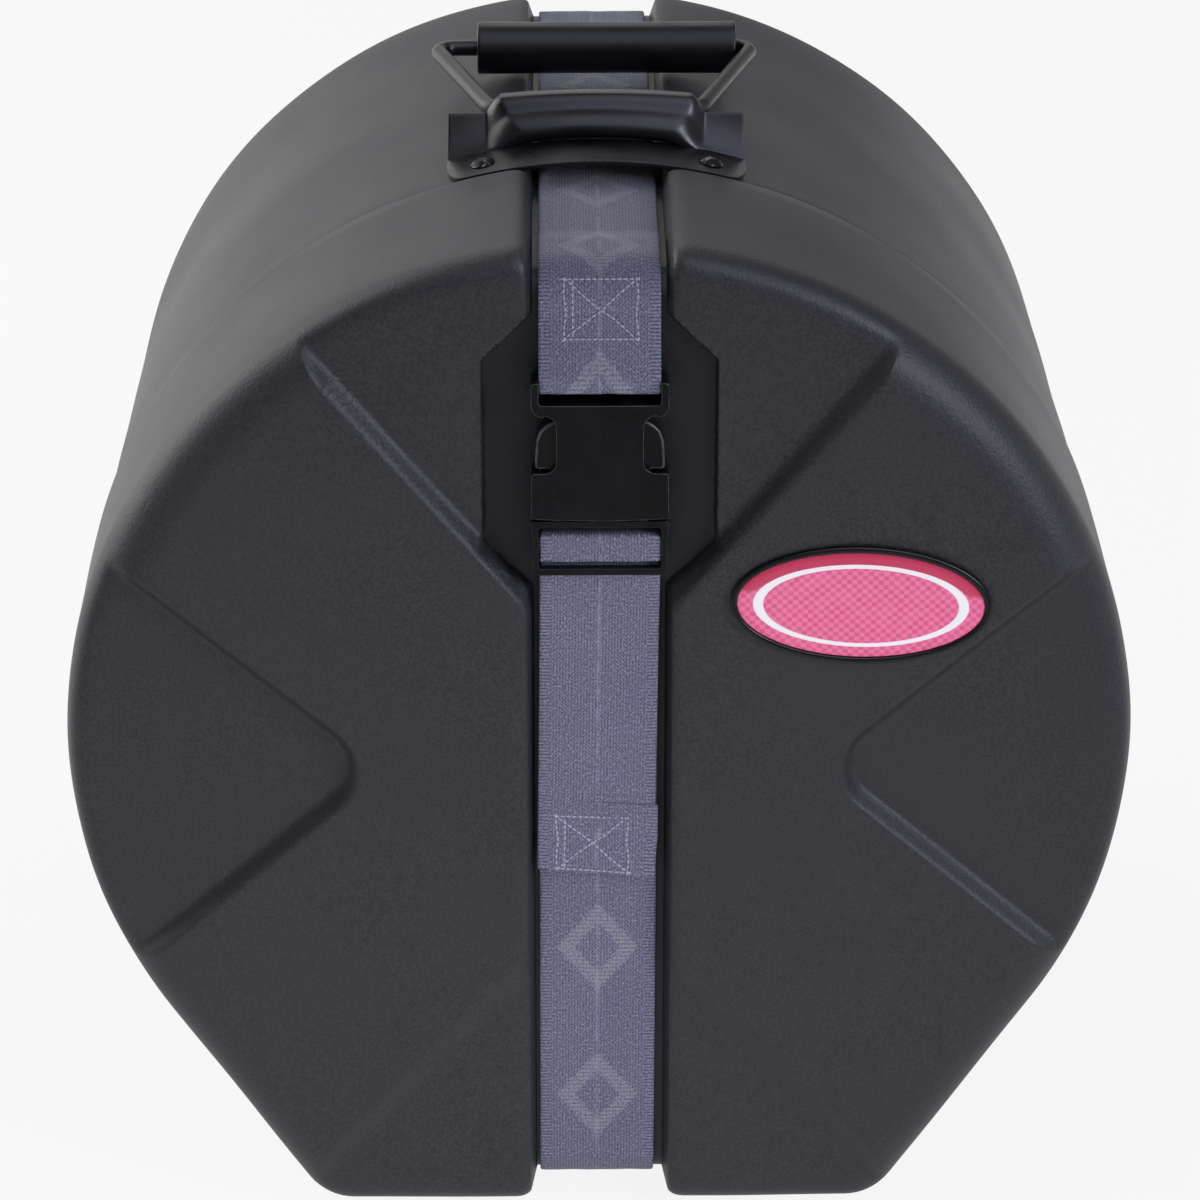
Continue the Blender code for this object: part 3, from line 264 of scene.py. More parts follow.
def woven_nylon():
    """Nylon webbing: slate yarns in a fine chevron weave, ribbed edges, and a paler centre yarn."""
    made, tree, shader, place = finish_named("woven_nylon", "weave")
    parts = add(tree, "ShaderNodeSeparateXYZ", place)
    across, along = parts.outputs["X"], parts.outputs["Y"]
    wobble = add(tree, NOISE, place, per_metre(9), 2.0)
    wander = add(tree, RANGE, wobble, 0.3, 0.7, -0.0003, 0.0003)
    centre = add(tree, MATH, add(tree, MATH, across, WEB_WIDTH / 2, operation="SUBTRACT"), wander, operation="ADD")
    aside = add(tree, MATH, centre, operation="ABSOLUTE")
    # The yarns are 0.5 mm apart; they are drawn 1.25 mm apart so that the render can show them.
    warp_pitch, twill_pitch, rib_pitch, chevron = 0.00125, 0.0017, 0.0015, 0.0055
    column = add(tree, MATH, aside, chevron, operation="PINGPONG")
    twill = waves(tree, add(tree, MATH, column, 1.1, along, operation="MULTIPLY_ADD"), twill_pitch)
    weave = add(tree, MATH, twill, waves(tree, across, warp_pitch), operation="ADD")
    weave = add(tree, MATH, weave, 0.25, operation="MULTIPLY")
    rib = add(tree, MATH, waves(tree, along, rib_pitch), 0.45, operation="MULTIPLY")
    height = add(tree, BLEND, add(tree, RANGE, aside, 0.0195, 0.0205, 0.0, 1.0), weave, rib)
    line = add(tree, MATH, add(tree, RANGE, aside, 0.0005, 0.0010, 1.0, 0.0),
               add(tree, RANGE, wobble, 0.4, 0.6, 0.0, 0.35), operation="MULTIPLY")
    # A plain stepped lozenge is woven into the face side, one every 72 mm.
    every, step, half_high, half_wide = 0.072, 0.0013, 0.021, 0.017
    repeat = add(tree, MATH, add(tree, MATH, along, every, operation="MODULO"), every / 2, operation="SUBTRACT")
    ring = -0.72
    for value, reach in ((add(tree, MATH, repeat, operation="ABSOLUTE"), half_high), (aside, half_wide)):
        stair = add(tree, MATH, add(tree, MATH, value, step, operation="DIVIDE"), operation="FLOOR")
        ring = add(tree, MATH, stair, step / reach, ring, operation="MULTIPLY_ADD")
    ring = add(tree, MATH, ring, operation="ABSOLUTE")
    face = add(tree, "ShaderNodeAttribute", attribute_name="face_side").outputs["Fac"]
    floats = add(tree, RANGE, waves(tree, along, 0.0019), -0.6, 0.2, 0.25, 0.75)
    motif = add(tree, MATH, face, floats, operation="MULTIPLY")
    motif = add(tree, MATH, add(tree, RANGE, ring, 0.20, 0.24, 1.0, 0.0), motif, operation="MULTIPLY")
    fleck = add(tree, NOISE, place, per_metre(1.0), 1.0)
    fade = add(tree, NOISE, place, per_metre(40), 3.0)
    base = layered(tree, colour("494a5e"),
                   (add(tree, RANGE, height, -0.4, 0.45, 0.0, 1.0), "7d7e95"),
                   (add(tree, RANGE, fade, 0.35, 0.65, 0.0, 0.4), "585970"),
                   (motif, "8b8b96"),
                   (add(tree, RANGE, fleck, 0.55, 0.70, 0.0, 0.6), "9698ad"),
                   (add(tree, RANGE, fleck, 0.45, 0.32, 0.0, 0.5), "2f3040"),
                   (line, "9698ad"))
    relief = add(tree, MATH, fleck, 0.5, height, operation="MULTIPLY_ADD")
    bump = add(tree, BUMP, named={"Height": relief, "Strength": 0.6, "Distance": 0.0004})
    fill(tree, shader, {"Base Color": base, "Roughness": 0.72, "Sheen Weight": 0.25, "Sheen Roughness": 0.4,
                        "Normal": bump})
    return made


def satin(name, dark, light, rough, patch, level=0.5, metallic=0.0, dent=0.12):
    """A smooth dark finish: two close tones in patches, a rub that changes its gloss, and a faint grain."""
    made, tree, shader, place = finish_named(name)
    cloud = add(tree, NOISE, place, per_metre(patch), 4.0)
    fine = add(tree, NOISE, place, per_metre(0.6), 2.0)
    share = add(tree, RANGE, cloud, 0.35, 0.65, 0.0, 1.0)
    base = layered(tree, colour(dark), (share, light))
    gloss = add(tree, MATH, add(tree, RANGE, cloud, 0.3, 0.7, rough - 0.05, rough + 0.06),
                add(tree, RANGE, fine, 0.3, 0.7, -0.02, 0.03), operation="ADD")
    bump = add(tree, BUMP, named={"Height": fine, "Strength": dent, "Distance": 0.0003})
    fill(tree, shader, {"Base Color": base, "Roughness": gloss, "Metallic": metallic, "Specular IOR Level": level,
                        "Normal": bump})
    return made


def rubbed_rivet():
    """Blackened steel rivet: the black has rubbed off the crown and shows bare metal."""
    made, tree, shader, place = finish_named("blackened_steel_rivet")
    wear = add(tree, NOISE, place, per_metre(3.5), 4.0, 0.7)
    bare = add(tree, RANGE, wear, 0.54, 0.62, 0.0, 1.0)
    base = layered(tree, colour("222326"), (bare, "97979b"))
    gloss = add(tree, RANGE, wear, 0.4, 0.65, 0.45, 0.25)
    bump = add(tree, BUMP, named={"Height": wear, "Strength": 0.3, "Distance": 0.0003})
    fill(tree, shader, {"Base Color": base, "Roughness": gloss, "Metallic": 0.9, "Normal": bump})
    return made


def cut_foam():
    """Open-cell foam cut with a blade: charcoal, quite matt, with small open pores."""
    made, tree, shader, place = finish_named("cut_foam")
    # The real pores are about 0.8 mm; they are drawn at 2.4 mm so that the render can show them.
    cells = add(tree, CELLS, place, per_metre(2.4))
    cloud = add(tree, NOISE, place, per_metre(45), 3.0)
    base = layered(tree, colour("17181a"), (add(tree, RANGE, cells, 0.1, 0.6, 0.0, 1.0), "34363a"),
                   (add(tree, RANGE, cloud, 0.35, 0.65, 0.0, 0.35), "3b3d42"))
    bump = add(tree, BUMP, named={"Height": cells, "Strength": 0.7, "Distance": 0.0008})
    fill(tree, shader, {"Base Color": base, "Roughness": 0.95, "Normal": bump})
    return made


def printed_plate():
    """Film printed on the back and set under clear resin: a pink mesh with a darker crimson band painted along its
    top as the bezel's shadow, and a white keyline.
    """
    made, tree, shader, place = finish_named("printed_film_under_resin", "plate")
    parts = add(tree, "ShaderNodeSeparateXYZ", place)
    across, up = parts.outputs["X"], parts.outputs["Y"]
    pitch = 0.0043
    mesh = add(tree, MATH, waves(tree, across, pitch), waves(tree, up, pitch / 1.1), operation="MULTIPLY")
    cloud = add(tree, NOISE, place, per_metre(7), 2.0)
    # Two ovals, each given by its half width, its half height and how far it sits below the plate's middle.
    rings = []
    for half_wide, half_high, sunk in ((0.0506, 0.0231, 0.0048), (0.0421, 0.0175, 0.0)):
        squares = 0.0
        for part, half, shift in ((across, half_wide, 0.0), (up, half_high, sunk)):
            share = add(tree, MATH, add(tree, MATH, part, shift, operation="ADD"), half, operation="DIVIDE")
            squares = add(tree, MATH, share, share, squares, operation="MULTIPLY_ADD")
        rings.append(squares)
    # Painted shadow: a darker crimson crescent along the plate's top, under the bezel's lip.
    brow = add(tree, MATH, add(tree, RANGE, rings[0], 0.90, 0.96, 0.0, 1.0),
               add(tree, RANGE, up, 0.004, 0.006, 0.0, 1.0), operation="MULTIPLY")
    off = add(tree, MATH, add(tree, MATH, rings[1], operation="SQRT"), 1.0, operation="SUBTRACT")
    keyline = add(tree, RANGE, add(tree, MATH, off, operation="ABSOLUTE"), 0.042, 0.056, 1.0, 0.0)
    base = layered(tree, colour("f06f9f"), (add(tree, RANGE, mesh, -0.25, 0.35, 0.0, 1.0), "d3577f"),
                   (add(tree, RANGE, cloud, 0.4, 0.7, 0.0, 0.25), "f283ad"), (brow, "c4355a"), (keyline, "f3eef1"))
    bump = add(tree, BUMP, named={"Height": mesh, "Strength": 0.06, "Distance": 0.0002})
    fill(tree, shader, {"Base Color": base, "Roughness": 0.35, "Coat Weight": 0.3, "Coat Roughness": 0.15,
                        "Normal": bump})
    return made


def thread():
    """Twisted polyester sewing thread, paler than the webbing."""
    made, tree, shader, place = finish_named("sewing_thread")
    tone = add(tree, NOISE, place, per_metre(1.5), 2.0)
    base = layered(tree, colour("8f90a5"), (tone, "b9b9cb"))
    fill(tree, shader, {"Base Color": base, "Roughness": 0.6})
    return made


def smooth(item, angle=38.0):
    """Shade a piece smooth, apart from edges sharper than the angle in degrees."""
    item.data.shade_smooth()
    item.data.set_sharp_from_angle(angle=math.radians(angle))
    return item


def stand(name, data, finish=None):
    """A new object in the scene for a mesh, a curve, a lamp or a camera."""
    item = bpy.data.objects.new(name, data)
    bpy.context.scene.collection.objects.link(item)
    if finish:
        data.materials.append(finish)
    return item


def net(name, points, faces, edges=()):
    """A mesh from points and faces."""
    data = bpy.data.meshes.new(name)
    data.from_pydata(np.asarray(points, float).tolist(), edges, [tuple(map(int, face)) for face in faces])
    return data


def clean(data, merge, *sources):
    """Merge the doubled points of a mesh, or of the meshes it is made from, and turn its faces outwards."""
    shape = bmesh.new()
    for source in sources or (data,):
        shape.from_mesh(source)
    if merge:
        bmesh.ops.remove_doubles(shape, verts=shape.verts, dist=merge)
    bmesh.ops.recalc_face_normals(shape, faces=shape.faces)
    shape.to_mesh(data)
    shape.free()
    return data


def applied(item):
    """The mesh of an object with its modifiers applied."""
    bpy.context.view_layer.update()
    graph = bpy.context.evaluated_depsgraph_get()
    return bpy.data.meshes.new_from_object(item.evaluated_get(graph), depsgraph=graph)


def settle(item, body, slot, *nodes):
    """Apply the modifiers, then say what the piece rides on and what it stands for."""
    if item.modifiers or item.type != "MESH":
        name, data = item.name, applied(item)
        bpy.data.objects.remove(item)
        item = stand(name, data)
    if nodes:
        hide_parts(*nodes)
    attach(item, body)
    return item


def quads(index, closed=False):
    """The faces between rows of point numbers; closed joins each row's end to its start."""
    if closed:
        index = np.hstack([index, index[:, :1]])
    return np.stack([index[:-1, :-1], index[1:, :-1], index[1:, 1:], index[:-1, 1:]], -1).reshape(-1, 4)


class Skin:
    """Grids of points that are welded where they meet; near a crease their faces are split finer."""

    def __init__(self):
        self.points = []
        self.normals = []
        self.faces = []
        self.count = 0

    def grid(self, points, normals=None, closed=False):
        """Add rows of points, with their normals."""
        rows, columns = points.shape[:2]
        index = self.count + np.arange(rows * columns).reshape(rows, columns)
        self.points.append(points.reshape(-1, 3))
        self.normals.append((normals if normals is not None else np.zeros_like(points)).reshape(-1, 3))
        self.faces.append(quads(index, closed))
        self.count += rows * columns

    def fan(self, ring):
        """Close a ring with triangles to its middle."""
        self.grid(np.stack([ring, np.broadcast_to(ring.mean(0), ring.shape)]), closed=True)

    def make(self, name, finish, angle=38.0):
        """Weld the grids into one closed piece."""
        data = clean(net(name, np.concatenate(self.points), np.concatenate(self.faces)), WELD)
        return smooth(stand(name, data, finish), angle)

    def press(self, name, finish, shape, near, tint):
        """Weld, split the faces that are near a crease, then move every point with a normal by the shape."""
        data = net(name, np.concatenate(self.points), np.concatenate(self.faces))
        work = bmesh.new()
        work.from_mesh(data)
        out = work.verts.layers.float_vector.new("out")
        for vertex, normal in zip(work.verts, np.concatenate(self.normals)):
            vertex[out] = normal
        bmesh.ops.remove_doubles(work, verts=work.verts, dist=WELD)
        for _ in range(2):
            work.faces.ensure_lookup_table()
            spots = np.array([face.calc_center_median() for face in work.faces])
            size = np.sqrt([face.calc_area() for face in work.faces])
            live = np.array([all(v[out].length > 0.5 for v in face.verts) for face in work.faces])
            chosen = np.flatnonzero(near(spots, size) & live)
            edges = {edge for k in chosen for edge in work.faces[k].edges}
            bmesh.ops.subdivide_edges(work, edges=list(edges), cuts=1, use_grid_fill=True)
        work.verts.ensure_lookup_table()
        points = np.array([vertex.co for vertex in work.verts])
        normals = np.array([vertex[out] for vertex in work.verts])
        length = np.linalg.norm(normals, axis=1, keepdims=True)
        live = length[:, 0] > 0.5
        normals[live] /= length[live]
        shade = np.zeros(len(points))
        shade[live] = tint(points[live])
        points[live] = shape(points[live], normals[live])
        for vertex, spot in zip(work.verts, points):
            vertex.co = spot
        bmesh.ops.recalc_face_normals(work, faces=work.faces)
        work.to_mesh(data)
        work.free()
        data.attributes.remove(data.attributes["out"])
        # How recessed each point is; the shell's finish paints shade into the deepest recesses with it.
        data.attributes.new("hollow", "FLOAT", "POINT").data.foreach_set("value", shade.astype(np.float32))
        return smooth(stand(name, data, finish))


class Outline:
    """The case's outline, sampled at the same columns at every size, so that rows of points join up."""

    def __init__(self, half_strip, *steps):
        self.strip = np.array([-x for x in reversed(half_strip)] + [0.0] + list(half_strip))
        self.steps = steps

    def side(self, radius, inset):
        """The right-hand side from the strip's top to its bottom: points and normals in x and z."""
        crown, flank, foot, base = self.steps
        reach = radius - inset
        foot_x = (radius - FOOT_RADIUS + math.sin(FLANK) * (FOOT_RADIUS - AXIS_HEIGHT)) / math.cos(FLANK)
        foot_reach = FOOT_RADIUS - inset
        start = math.asin(self.strip[-1] / reach)
        turn = np.linspace(start, QUARTER + FLANK, crown + 1)
        round_top = np.stack([np.sin(turn), np.cos(turn)], -1)
        top = round_top * reach + (0, AXIS_HEIGHT)
        turn = np.linspace(QUARTER + FLANK, math.pi, foot + 1)
        round_foot = np.stack([np.sin(turn), np.cos(turn)], -1)
        low = round_foot * foot_reach + (foot_x, FOOT_RADIUS)
        share = np.linspace(0, 1, flank + 1)[1:-1, None]
        slope = top[-1] + (low[0] - top[-1]) * share
        share = np.linspace(0, 1, base + 1)[1:, None]
        floor = low[-1] + (np.array([self.strip[-1], low[-1][1]]) - low[-1]) * share
        points = np.concatenate([top, slope, low, floor])
        normals = np.concatenate([round_top, np.repeat(round_top[-1:], len(slope), 0), round_foot,
                                  np.repeat([[0.0, -1.0]], len(floor), 0)])
        return points, normals

    def ends(self, radius, inset):
        """The strip's top and bottom ends, left to right."""
        reach = radius - inset
        rise = np.sqrt(reach ** 2 - self.strip ** 2)
        top = np.stack([self.strip, AXIS_HEIGHT + rise], -1)
        top_normal = np.stack([self.strip / reach, rise / reach], -1)
        low = np.stack([self.strip, np.full_like(self.strip, inset)], -1)
        return top, top_normal, low, np.repeat([[0.0, -1.0]], len(low), 0)

    def loop(self, radius, inset):
        """The whole outline, clockwise from the strip's top left."""
        side, side_normal = self.side(radius, inset)
        top, top_normal, low, low_normal = self.ends(radius, inset)
        flip = np.array([-1.0, 1.0])
        points = np.concatenate([top, side[1:-1], low[::-1], (side[1:-1] * flip)[::-1]])
        normals = np.concatenate([top_normal, side_normal[1:-1], low_normal, (side_normal[1:-1] * flip)[::-1]])
        return points, normals

    def row(self, radius, inset, y, tip=0.0):
        """One row in space; tip is how far its normals lean along y."""
        points, normals = self.loop(radius, inset)
        return np.insert(points, 1, y, 1), np.insert(normals * math.cos(tip), 1, math.sin(tip), 1)

    def sunk(self, radius, inset, y, depth=None):
        """One row with the channel pressed into it; depth is how far inside the outer skin it lies."""
        return sink(*self.row(radius, inset, y), inset if depth is None else depth)

    def faces(self, radius, inset, y, steps):
        """Three flat patches inside the outline: the strip, and the two sides."""
        side, _ = self.side(radius, inset)
        top, _, low, _ = self.ends(radius, inset)
        length = np.concatenate([[0], np.cumsum(np.linalg.norm(np.diff(side, axis=0), axis=1))])
        share = (length / length[-1])[:, None, None]
        strip = top + (low - top) * share
        out = np.linspace(0, 1, steps + 1)[None, :, None]
        right = strip[:, -1:] + (side[:, None] - strip[:, -1:]) * out
        left = right * (-1.0, 1.0)
        return [np.insert(patch, 1, y, 2) for patch in (strip, right, left)]


def body_radius(y):
    """The body's radius at y, narrowed by its draft."""
    share = np.clip((y - Y_SEAM) / (Y_BACK - RIM - Y_SEAM), 0, 1)
    return BODY_RADIUS - BODY_DRAFT * share


def loop_distance(y, z):
    """How far a point is outside the channel's floor, in the plane of y and z."""
    back = Y_BACK - CHANNEL_DEPTH
    high = CHANNEL_TOP - BODY_DRAFT * np.clip((y - Y_SEAM) / (back - Y_SEAM), 0, 1)
    across = np.abs(y - (Y_CHANNEL + back) / 2) - (back - Y_CHANNEL) / 2 + CHANNEL_BEND
    along = np.abs(z - (high + CHANNEL_DEPTH) / 2) - (high - CHANNEL_DEPTH) / 2 + CHANNEL_BEND
    corner = np.hypot(np.maximum(across, 0), np.maximum(along, 0))
    return corner + np.minimum(np.maximum(across, along), 0) - CHANNEL_BEND


def channel_share(aside):
    """How much of the channel's depth a point has: a drafted wall with a rounded brow."""
    wall = np.clip((CHANNEL_EDGE - aside) / (CHANNEL_EDGE - CHANNEL_HALF), 0, 1)
    lip = np.clip((CHANNEL_CREST - aside) / (CHANNEL_CREST - CHANNEL_EDGE), 0, 1)
    brow = CHANNEL_BROW * (1 - np.sqrt(1 - lip ** 2))
    return np.where(aside < CHANNEL_EDGE, CHANNEL_BROW + (1 - CHANNEL_BROW) * wall, brow)


def sink(points, normals, inset=0.0):
    """Press the strap's channel into a surface; the inset is how far inside the outer skin it lies."""
    into = normals.copy()
    into[..., 0] = 0
    into /= np.maximum(np.linalg.norm(into, axis=-1, keepdims=True), 1e-9)
    furthest = 0.05
    travel = np.zeros(points.shape[:-1])
    for _ in range(14):
        probe = points - into * travel[..., None]
        travel += loop_distance(probe[..., 1], probe[..., 2]) + inset
    share = channel_share(np.abs(points[..., 0]) - inset)
    return points - into * (np.clip(travel, 0, furthest) * share)[..., None]


def ramp(distance, width):
    """From 0 at an edge to 1 a wall's width inside it."""
    share = np.clip(-distance / width, 0, 1)
    return share * share * (3 - 2 * share)


def v_line(x, z):
    """How far a point is outside the V of panels, as the next three say of the folds, wedges and pocket."""
    return np.abs(x) * math.sin(V_SLOPE) - (z - V_TIP) * math.cos(V_SLOPE)


def fold_line(x, z):
    return np.abs(x) * math.sin(FOLD_SLOPE) + (z - FOLD_TOP) * math.cos(FOLD_SLOPE)


def wedge_line(x, z):
    out = np.abs(x) - WEDGE_TIP - WEDGE_ROUND / math.sin(WEDGE_ANGLE)
    off = np.abs(z - WEDGE_Z)
    line = off * math.cos(WEDGE_ANGLE) - out * math.sin(WEDGE_ANGLE)
    along = out * math.cos(WEDGE_ANGLE) + off * math.sin(WEDGE_ANGLE)
    return np.where(along < 0, np.hypot(out, off), line) - WEDGE_ROUND


def pocket_line(x, z):
    over = np.abs(x) - POCKET_HALF
    slant = np.maximum(z - POCKET_HIGH, POCKET_LOW - z)
    return np.maximum(over, (over + slant) / math.sqrt(2))


def panel_depth(x, z):
    """How deep the lid's face is sunk at a point."""
    depth = V_DEPTH * ramp(v_line(x, z), V_WALL)
    depth = np.maximum(depth, FOLD_DEPTH * ramp(fold_line(x, z), FOLD_WALL))
    depth = np.maximum(depth, WEDGE_DEPTH * ramp(wedge_line(x, z), WEDGE_WALL))
    return np.maximum(depth, CHANNEL_DEPTH * ramp(pocket_line(x, z), POCKET_WALL))


def near_crease(spots, size):
    """Which faces of the lid are near a crease and still too large for it."""
    x, y, z = spots.T
    aside = np.abs(x)

    def band(distance, width):
        """Within a face's size of a wall's top or foot."""
        return (distance < size) & (distance > -width - size)

    front = y < Y_FACE + RIM
    panel = band(v_line(x, z), V_WALL) | band(wedge_line(x, z), WEDGE_WALL)
    pocket = band(pocket_line(x, z), POCKET_WALL)
    brow = (aside > CHANNEL_HALF - size) & (aside < CHANNEL_CREST + size)
    panel_size, pocket_size, brow_size = 0.0019, 0.0009, 0.0026
    return front & ((panel & (size > panel_size)) | (pocket & (size > pocket_size)) | (brow & (size > brow_size)))


def ripple(points, height, swells):
    """A slow unevenness; each swell has its radians a metre along x, y and z, and its start."""
    return height * sum(np.sin(points @ np.array(way) + start) for way, start in swells)[..., None]


def moulded(points, normals):
    """The channel and the unevenness, as both shells' outer skins have them."""
    return sink(points, normals) - normals * ripple(points, RIPPLE, RIPPLE_SWELLS)


def press_lid(points, normals):
    """Sink the panels and the channel into the lid's outer skin."""
    depth = panel_depth(points[..., 0], points[..., 2])
    floor = Y_FACE + depth
    y = points[..., 1]
    full_depth = 0.004
    blend = CREASE * np.clip(depth / full_depth, 0, 1) + 1e-9
    near = np.clip(blend - np.abs(y - floor), 0, None) / blend
    moved = points.copy()
    moved[..., 1] = np.maximum(y, floor) + near * near * blend / 4
    return sink(moved, normals) - normals * ripple(points, RIPPLE, RIPPLE_SWELLS)


def lid_hollow(points):
    """How recessed a point of the lid is: 0 on the open face, 1 in the channel and the buckle's pocket; the shell's
    finish paints shade with it.
    """
    depth = panel_depth(points[..., 0], points[..., 2]) * (points[..., 1] < Y_FACE + RIM)
    groove = CHANNEL_DEPTH * channel_share(np.abs(points[..., 0]))
    return np.maximum(depth, groove) / CHANNEL_DEPTH


def lid_shell(finish):
    """The lid: the pressed outer skin, a rounded lip at the seam, and the inner wall."""
    half_strip = (0.009, 0.018, 0.0245, 0.0270, 0.0276, 0.0282, 0.0288, 0.0293, 0.0297, 0.0304, 0.0314,
                  0.0328, 0.0345, 0.0365, 0.0385, 0.0405)
    outline = Outline(half_strip, 150, 36, 8, 22)
    skin = Skin()
    for patch in outline.faces(LID_RADIUS, RIM, Y_FACE, 74):
        skin.grid(patch, np.broadcast_to((0.0, -1.0, 0.0), patch.shape))
    outer = []
    for turn in np.linspace(0, QUARTER, 13):
        inset = RIM * (1 - math.sin(turn))
        outer.append(outline.row(LID_RADIUS, inset, Y_FACE + RIM * (1 - math.cos(turn)), turn - QUARTER))
    for y in np.linspace(Y_FACE + RIM, Y_SEAM - LIP, 11)[1:]:
        outer.append(outline.row(LID_RADIUS, 0.0, y))
    skin.grid(np.stack([space for space, _ in outer]), np.stack([normal for _, normal in outer]), closed=True)
    turns = np.linspace(0, QUARTER, 4)[1:]
    lips = [(LIP * (1 - math.cos(t)), Y_SEAM - LIP * (1 - math.sin(t))) for t in turns]
    lips += [(WALL - inset, y) for inset, y in reversed(lips)] + [(WALL, Y_SEAM - LIP)]
    y_cap = Y_FACE + CAP_DEPTH
    inner = [(WALL, y) for y in np.linspace(Y_SEAM - LIP, Y_FACE + RIM, 5)[1:]]
    inner += [(WALL + CAP_STEP, y_cap)]
    rows = [moulded(*outline.row(LID_RADIUS, 0.0, Y_SEAM - LIP))]
    rows += [outline.sunk(LID_RADIUS, inset, y) for inset, y in lips + inner]
    item = skin.press("lid_skin", finish, press_lid, near_crease, lid_hollow)
    lining = Skin()
    lining.grid(np.stack(rows), closed=True)
    lining.fan(rows[-1])
    return weld("lid_shell", item, lining.make("lid_lining", finish), finish)


def weld(name, first, second, finish):
    """Join two open skins along the edge they share."""
    data = clean(bpy.data.meshes.new(name), 2 * WELD, first.data, second.data)
    for item in (first, second):
        bpy.data.objects.remove(item)
    return smooth(stand(name, data, finish))


def coarse_outline(scale=1.0):
    """The outline for pieces whose face is plain; scale thins its columns further."""
    half_strip = (0.010, 0.020, 0.0255, 0.0270, 0.0277, 0.0285, 0.0293, 0.0298, 0.0306, 0.0318, 0.0335,
                  0.0360, 0.0400)
    return Outline(half_strip, int(110 * scale), int(22 * scale), 8, int(14 * scale))


def body_shell(finish):
    """The body: a drafted skin with a round-edged back, a neck for the lid, and the inner wall."""
    outline = coarse_outline()
    skin = Skin()
    y_side = Y_BACK - RIM
    back_radius = BODY_RADIUS - BODY_DRAFT
    y_cap = Y_BACK - CAP_DEPTH
    inner = [(body_radius(y_cap), WALL + CAP_STEP, y_cap, WALL)]
    inner += [(body_radius(y), WALL, y) for y in np.linspace(y_side, Y_ROOT, 8)]
    neck = [(LID_RADIUS, MOUTH_INSET, y) for y in (Y_ROOT, (Y_ROOT + Y_NECK) / 2, Y_NECK + LIP)]
    for turn in np.linspace(0, math.pi, 7)[1:-1]:
        middle = (MOUTH_INSET + NECK_INSET) / 2
        inset = middle + (MOUTH_INSET - NECK_INSET) / 2 * math.cos(turn)
        neck.append((LID_RADIUS, inset, Y_NECK + LIP * (1 - math.sin(turn))))
    neck += [(LID_RADIUS, NECK_INSET, y) for y in (Y_NECK + LIP, (Y_SEAM + Y_NECK) / 2, Y_SEAM)]
    shoulder = [(BODY_RADIUS, inset, Y_SEAM + drop) for inset, drop in
                ((LIP, 0.0), (LIP * 0.4, LIP * 0.25), (0.0, LIP))]
    rows = [outline.sunk(*place) for place in inner + neck + shoulder]
    skin.fan(rows[0])
    for y in np.linspace(Y_SEAM + LIP, y_side, 27)[1:]:
        rows.append(moulded(*outline.row(body_radius(y), 0.0, y)))
    for turn in np.linspace(0, QUARTER, 10)[1:]:
        inset = RIM * (1 - math.cos(turn))
        rows.append(moulded(*outline.row(back_radius, inset, y_side + RIM * math.sin(turn), turn)))
    skin.grid(np.stack(rows), closed=True)
    for patch in outline.faces(back_radius, RIM, Y_BACK, 36):
        skin.grid(moulded(patch, np.broadcast_to((0.0, 1.0, 0.0), patch.shape)))
    return skin.make("body_shell", finish)


def foam_ring(finish):
    """The lining round the drum's shell: one sheet of foam, with soft front and back edges."""
    outline = coarse_outline(0.8)
    y_front, y_back = Y_ROOT + 0.0045, Y_BACK - BACK_PAD_REACH - FOAM_GAP
    outer, inner, soft = WALL + FOAM_GAP, WALL + FOAM_GAP + FOAM_THICK, 0.004
    rows = [outline.sunk(body_radius(y), outer, y) for y in np.linspace(y_front + soft, y_back - soft, 4)]
    for y_mid, sign in ((y_back - soft, 1), (y_front + soft, -1)):
        if sign < 0:
            for y in np.linspace(y_back - soft, y_front + soft, 14)[1:-1]:
                space, normals = outline.row(body_radius(y), inner, y)
                rows.append(space + normals * ripple(space, FOAM_RIPPLE, FOAM_SWELLS))
        turns = np.linspace(0, QUARTER, 4)
        for turn in turns if sign > 0 else turns[::-1]:
            y = y_mid + sign * soft * math.cos(turn - QUARTER)
            share = 1 - math.cos(turn)
            start = outline.sunk(body_radius(y_mid), outer, y)
            end, _ = outline.row(body_radius(y_mid), inner, y)
            rows.append(start + (end - start) * (0.25 + 0.75 * share))
    skin = Skin()
    skin.grid(np.stack(rows + rows[:1]), closed=True)
    return skin.make("foam_ring", finish, 60)


def foam_pad(name, y_wall, y_open, radius, finish):
    """A round pad of foam with a soft edge on its open side."""
    outline = coarse_outline(0.8)
    inset, soft = WALL + FOAM_GAP, 0.005
    toward = 1 if y_open > y_wall else -1
    skin = Skin()
    rows = [outline.sunk(radius, inset, y) for y in (y_wall, y_open - toward * soft)]
    skin.fan(rows[0])
    for turn in np.linspace(0, QUARTER, 5)[1:]:
        y = y_open - toward * soft * (1 - math.sin(turn))
        rows.append(outline.sunk(radius, inset + soft * (1 - math.cos(turn)), y))
    edge = rows[-1]
    middle = np.array([0, y_open, AXIS_HEIGHT])
    for share in np.linspace(1, 0, 26)[1:]:
        ring = middle + (edge - middle) * share
        ring[:, 1:2] += toward * ripple(ring, FOAM_RIPPLE, FOAM_SWELLS) * min(1.0, 6 * (1 - share))
        rows.append(ring)
    rows[-1][:] = rows[-1].mean(0)
    skin.grid(np.stack(rows), closed=True)
    return skin.make(name, finish, 60)


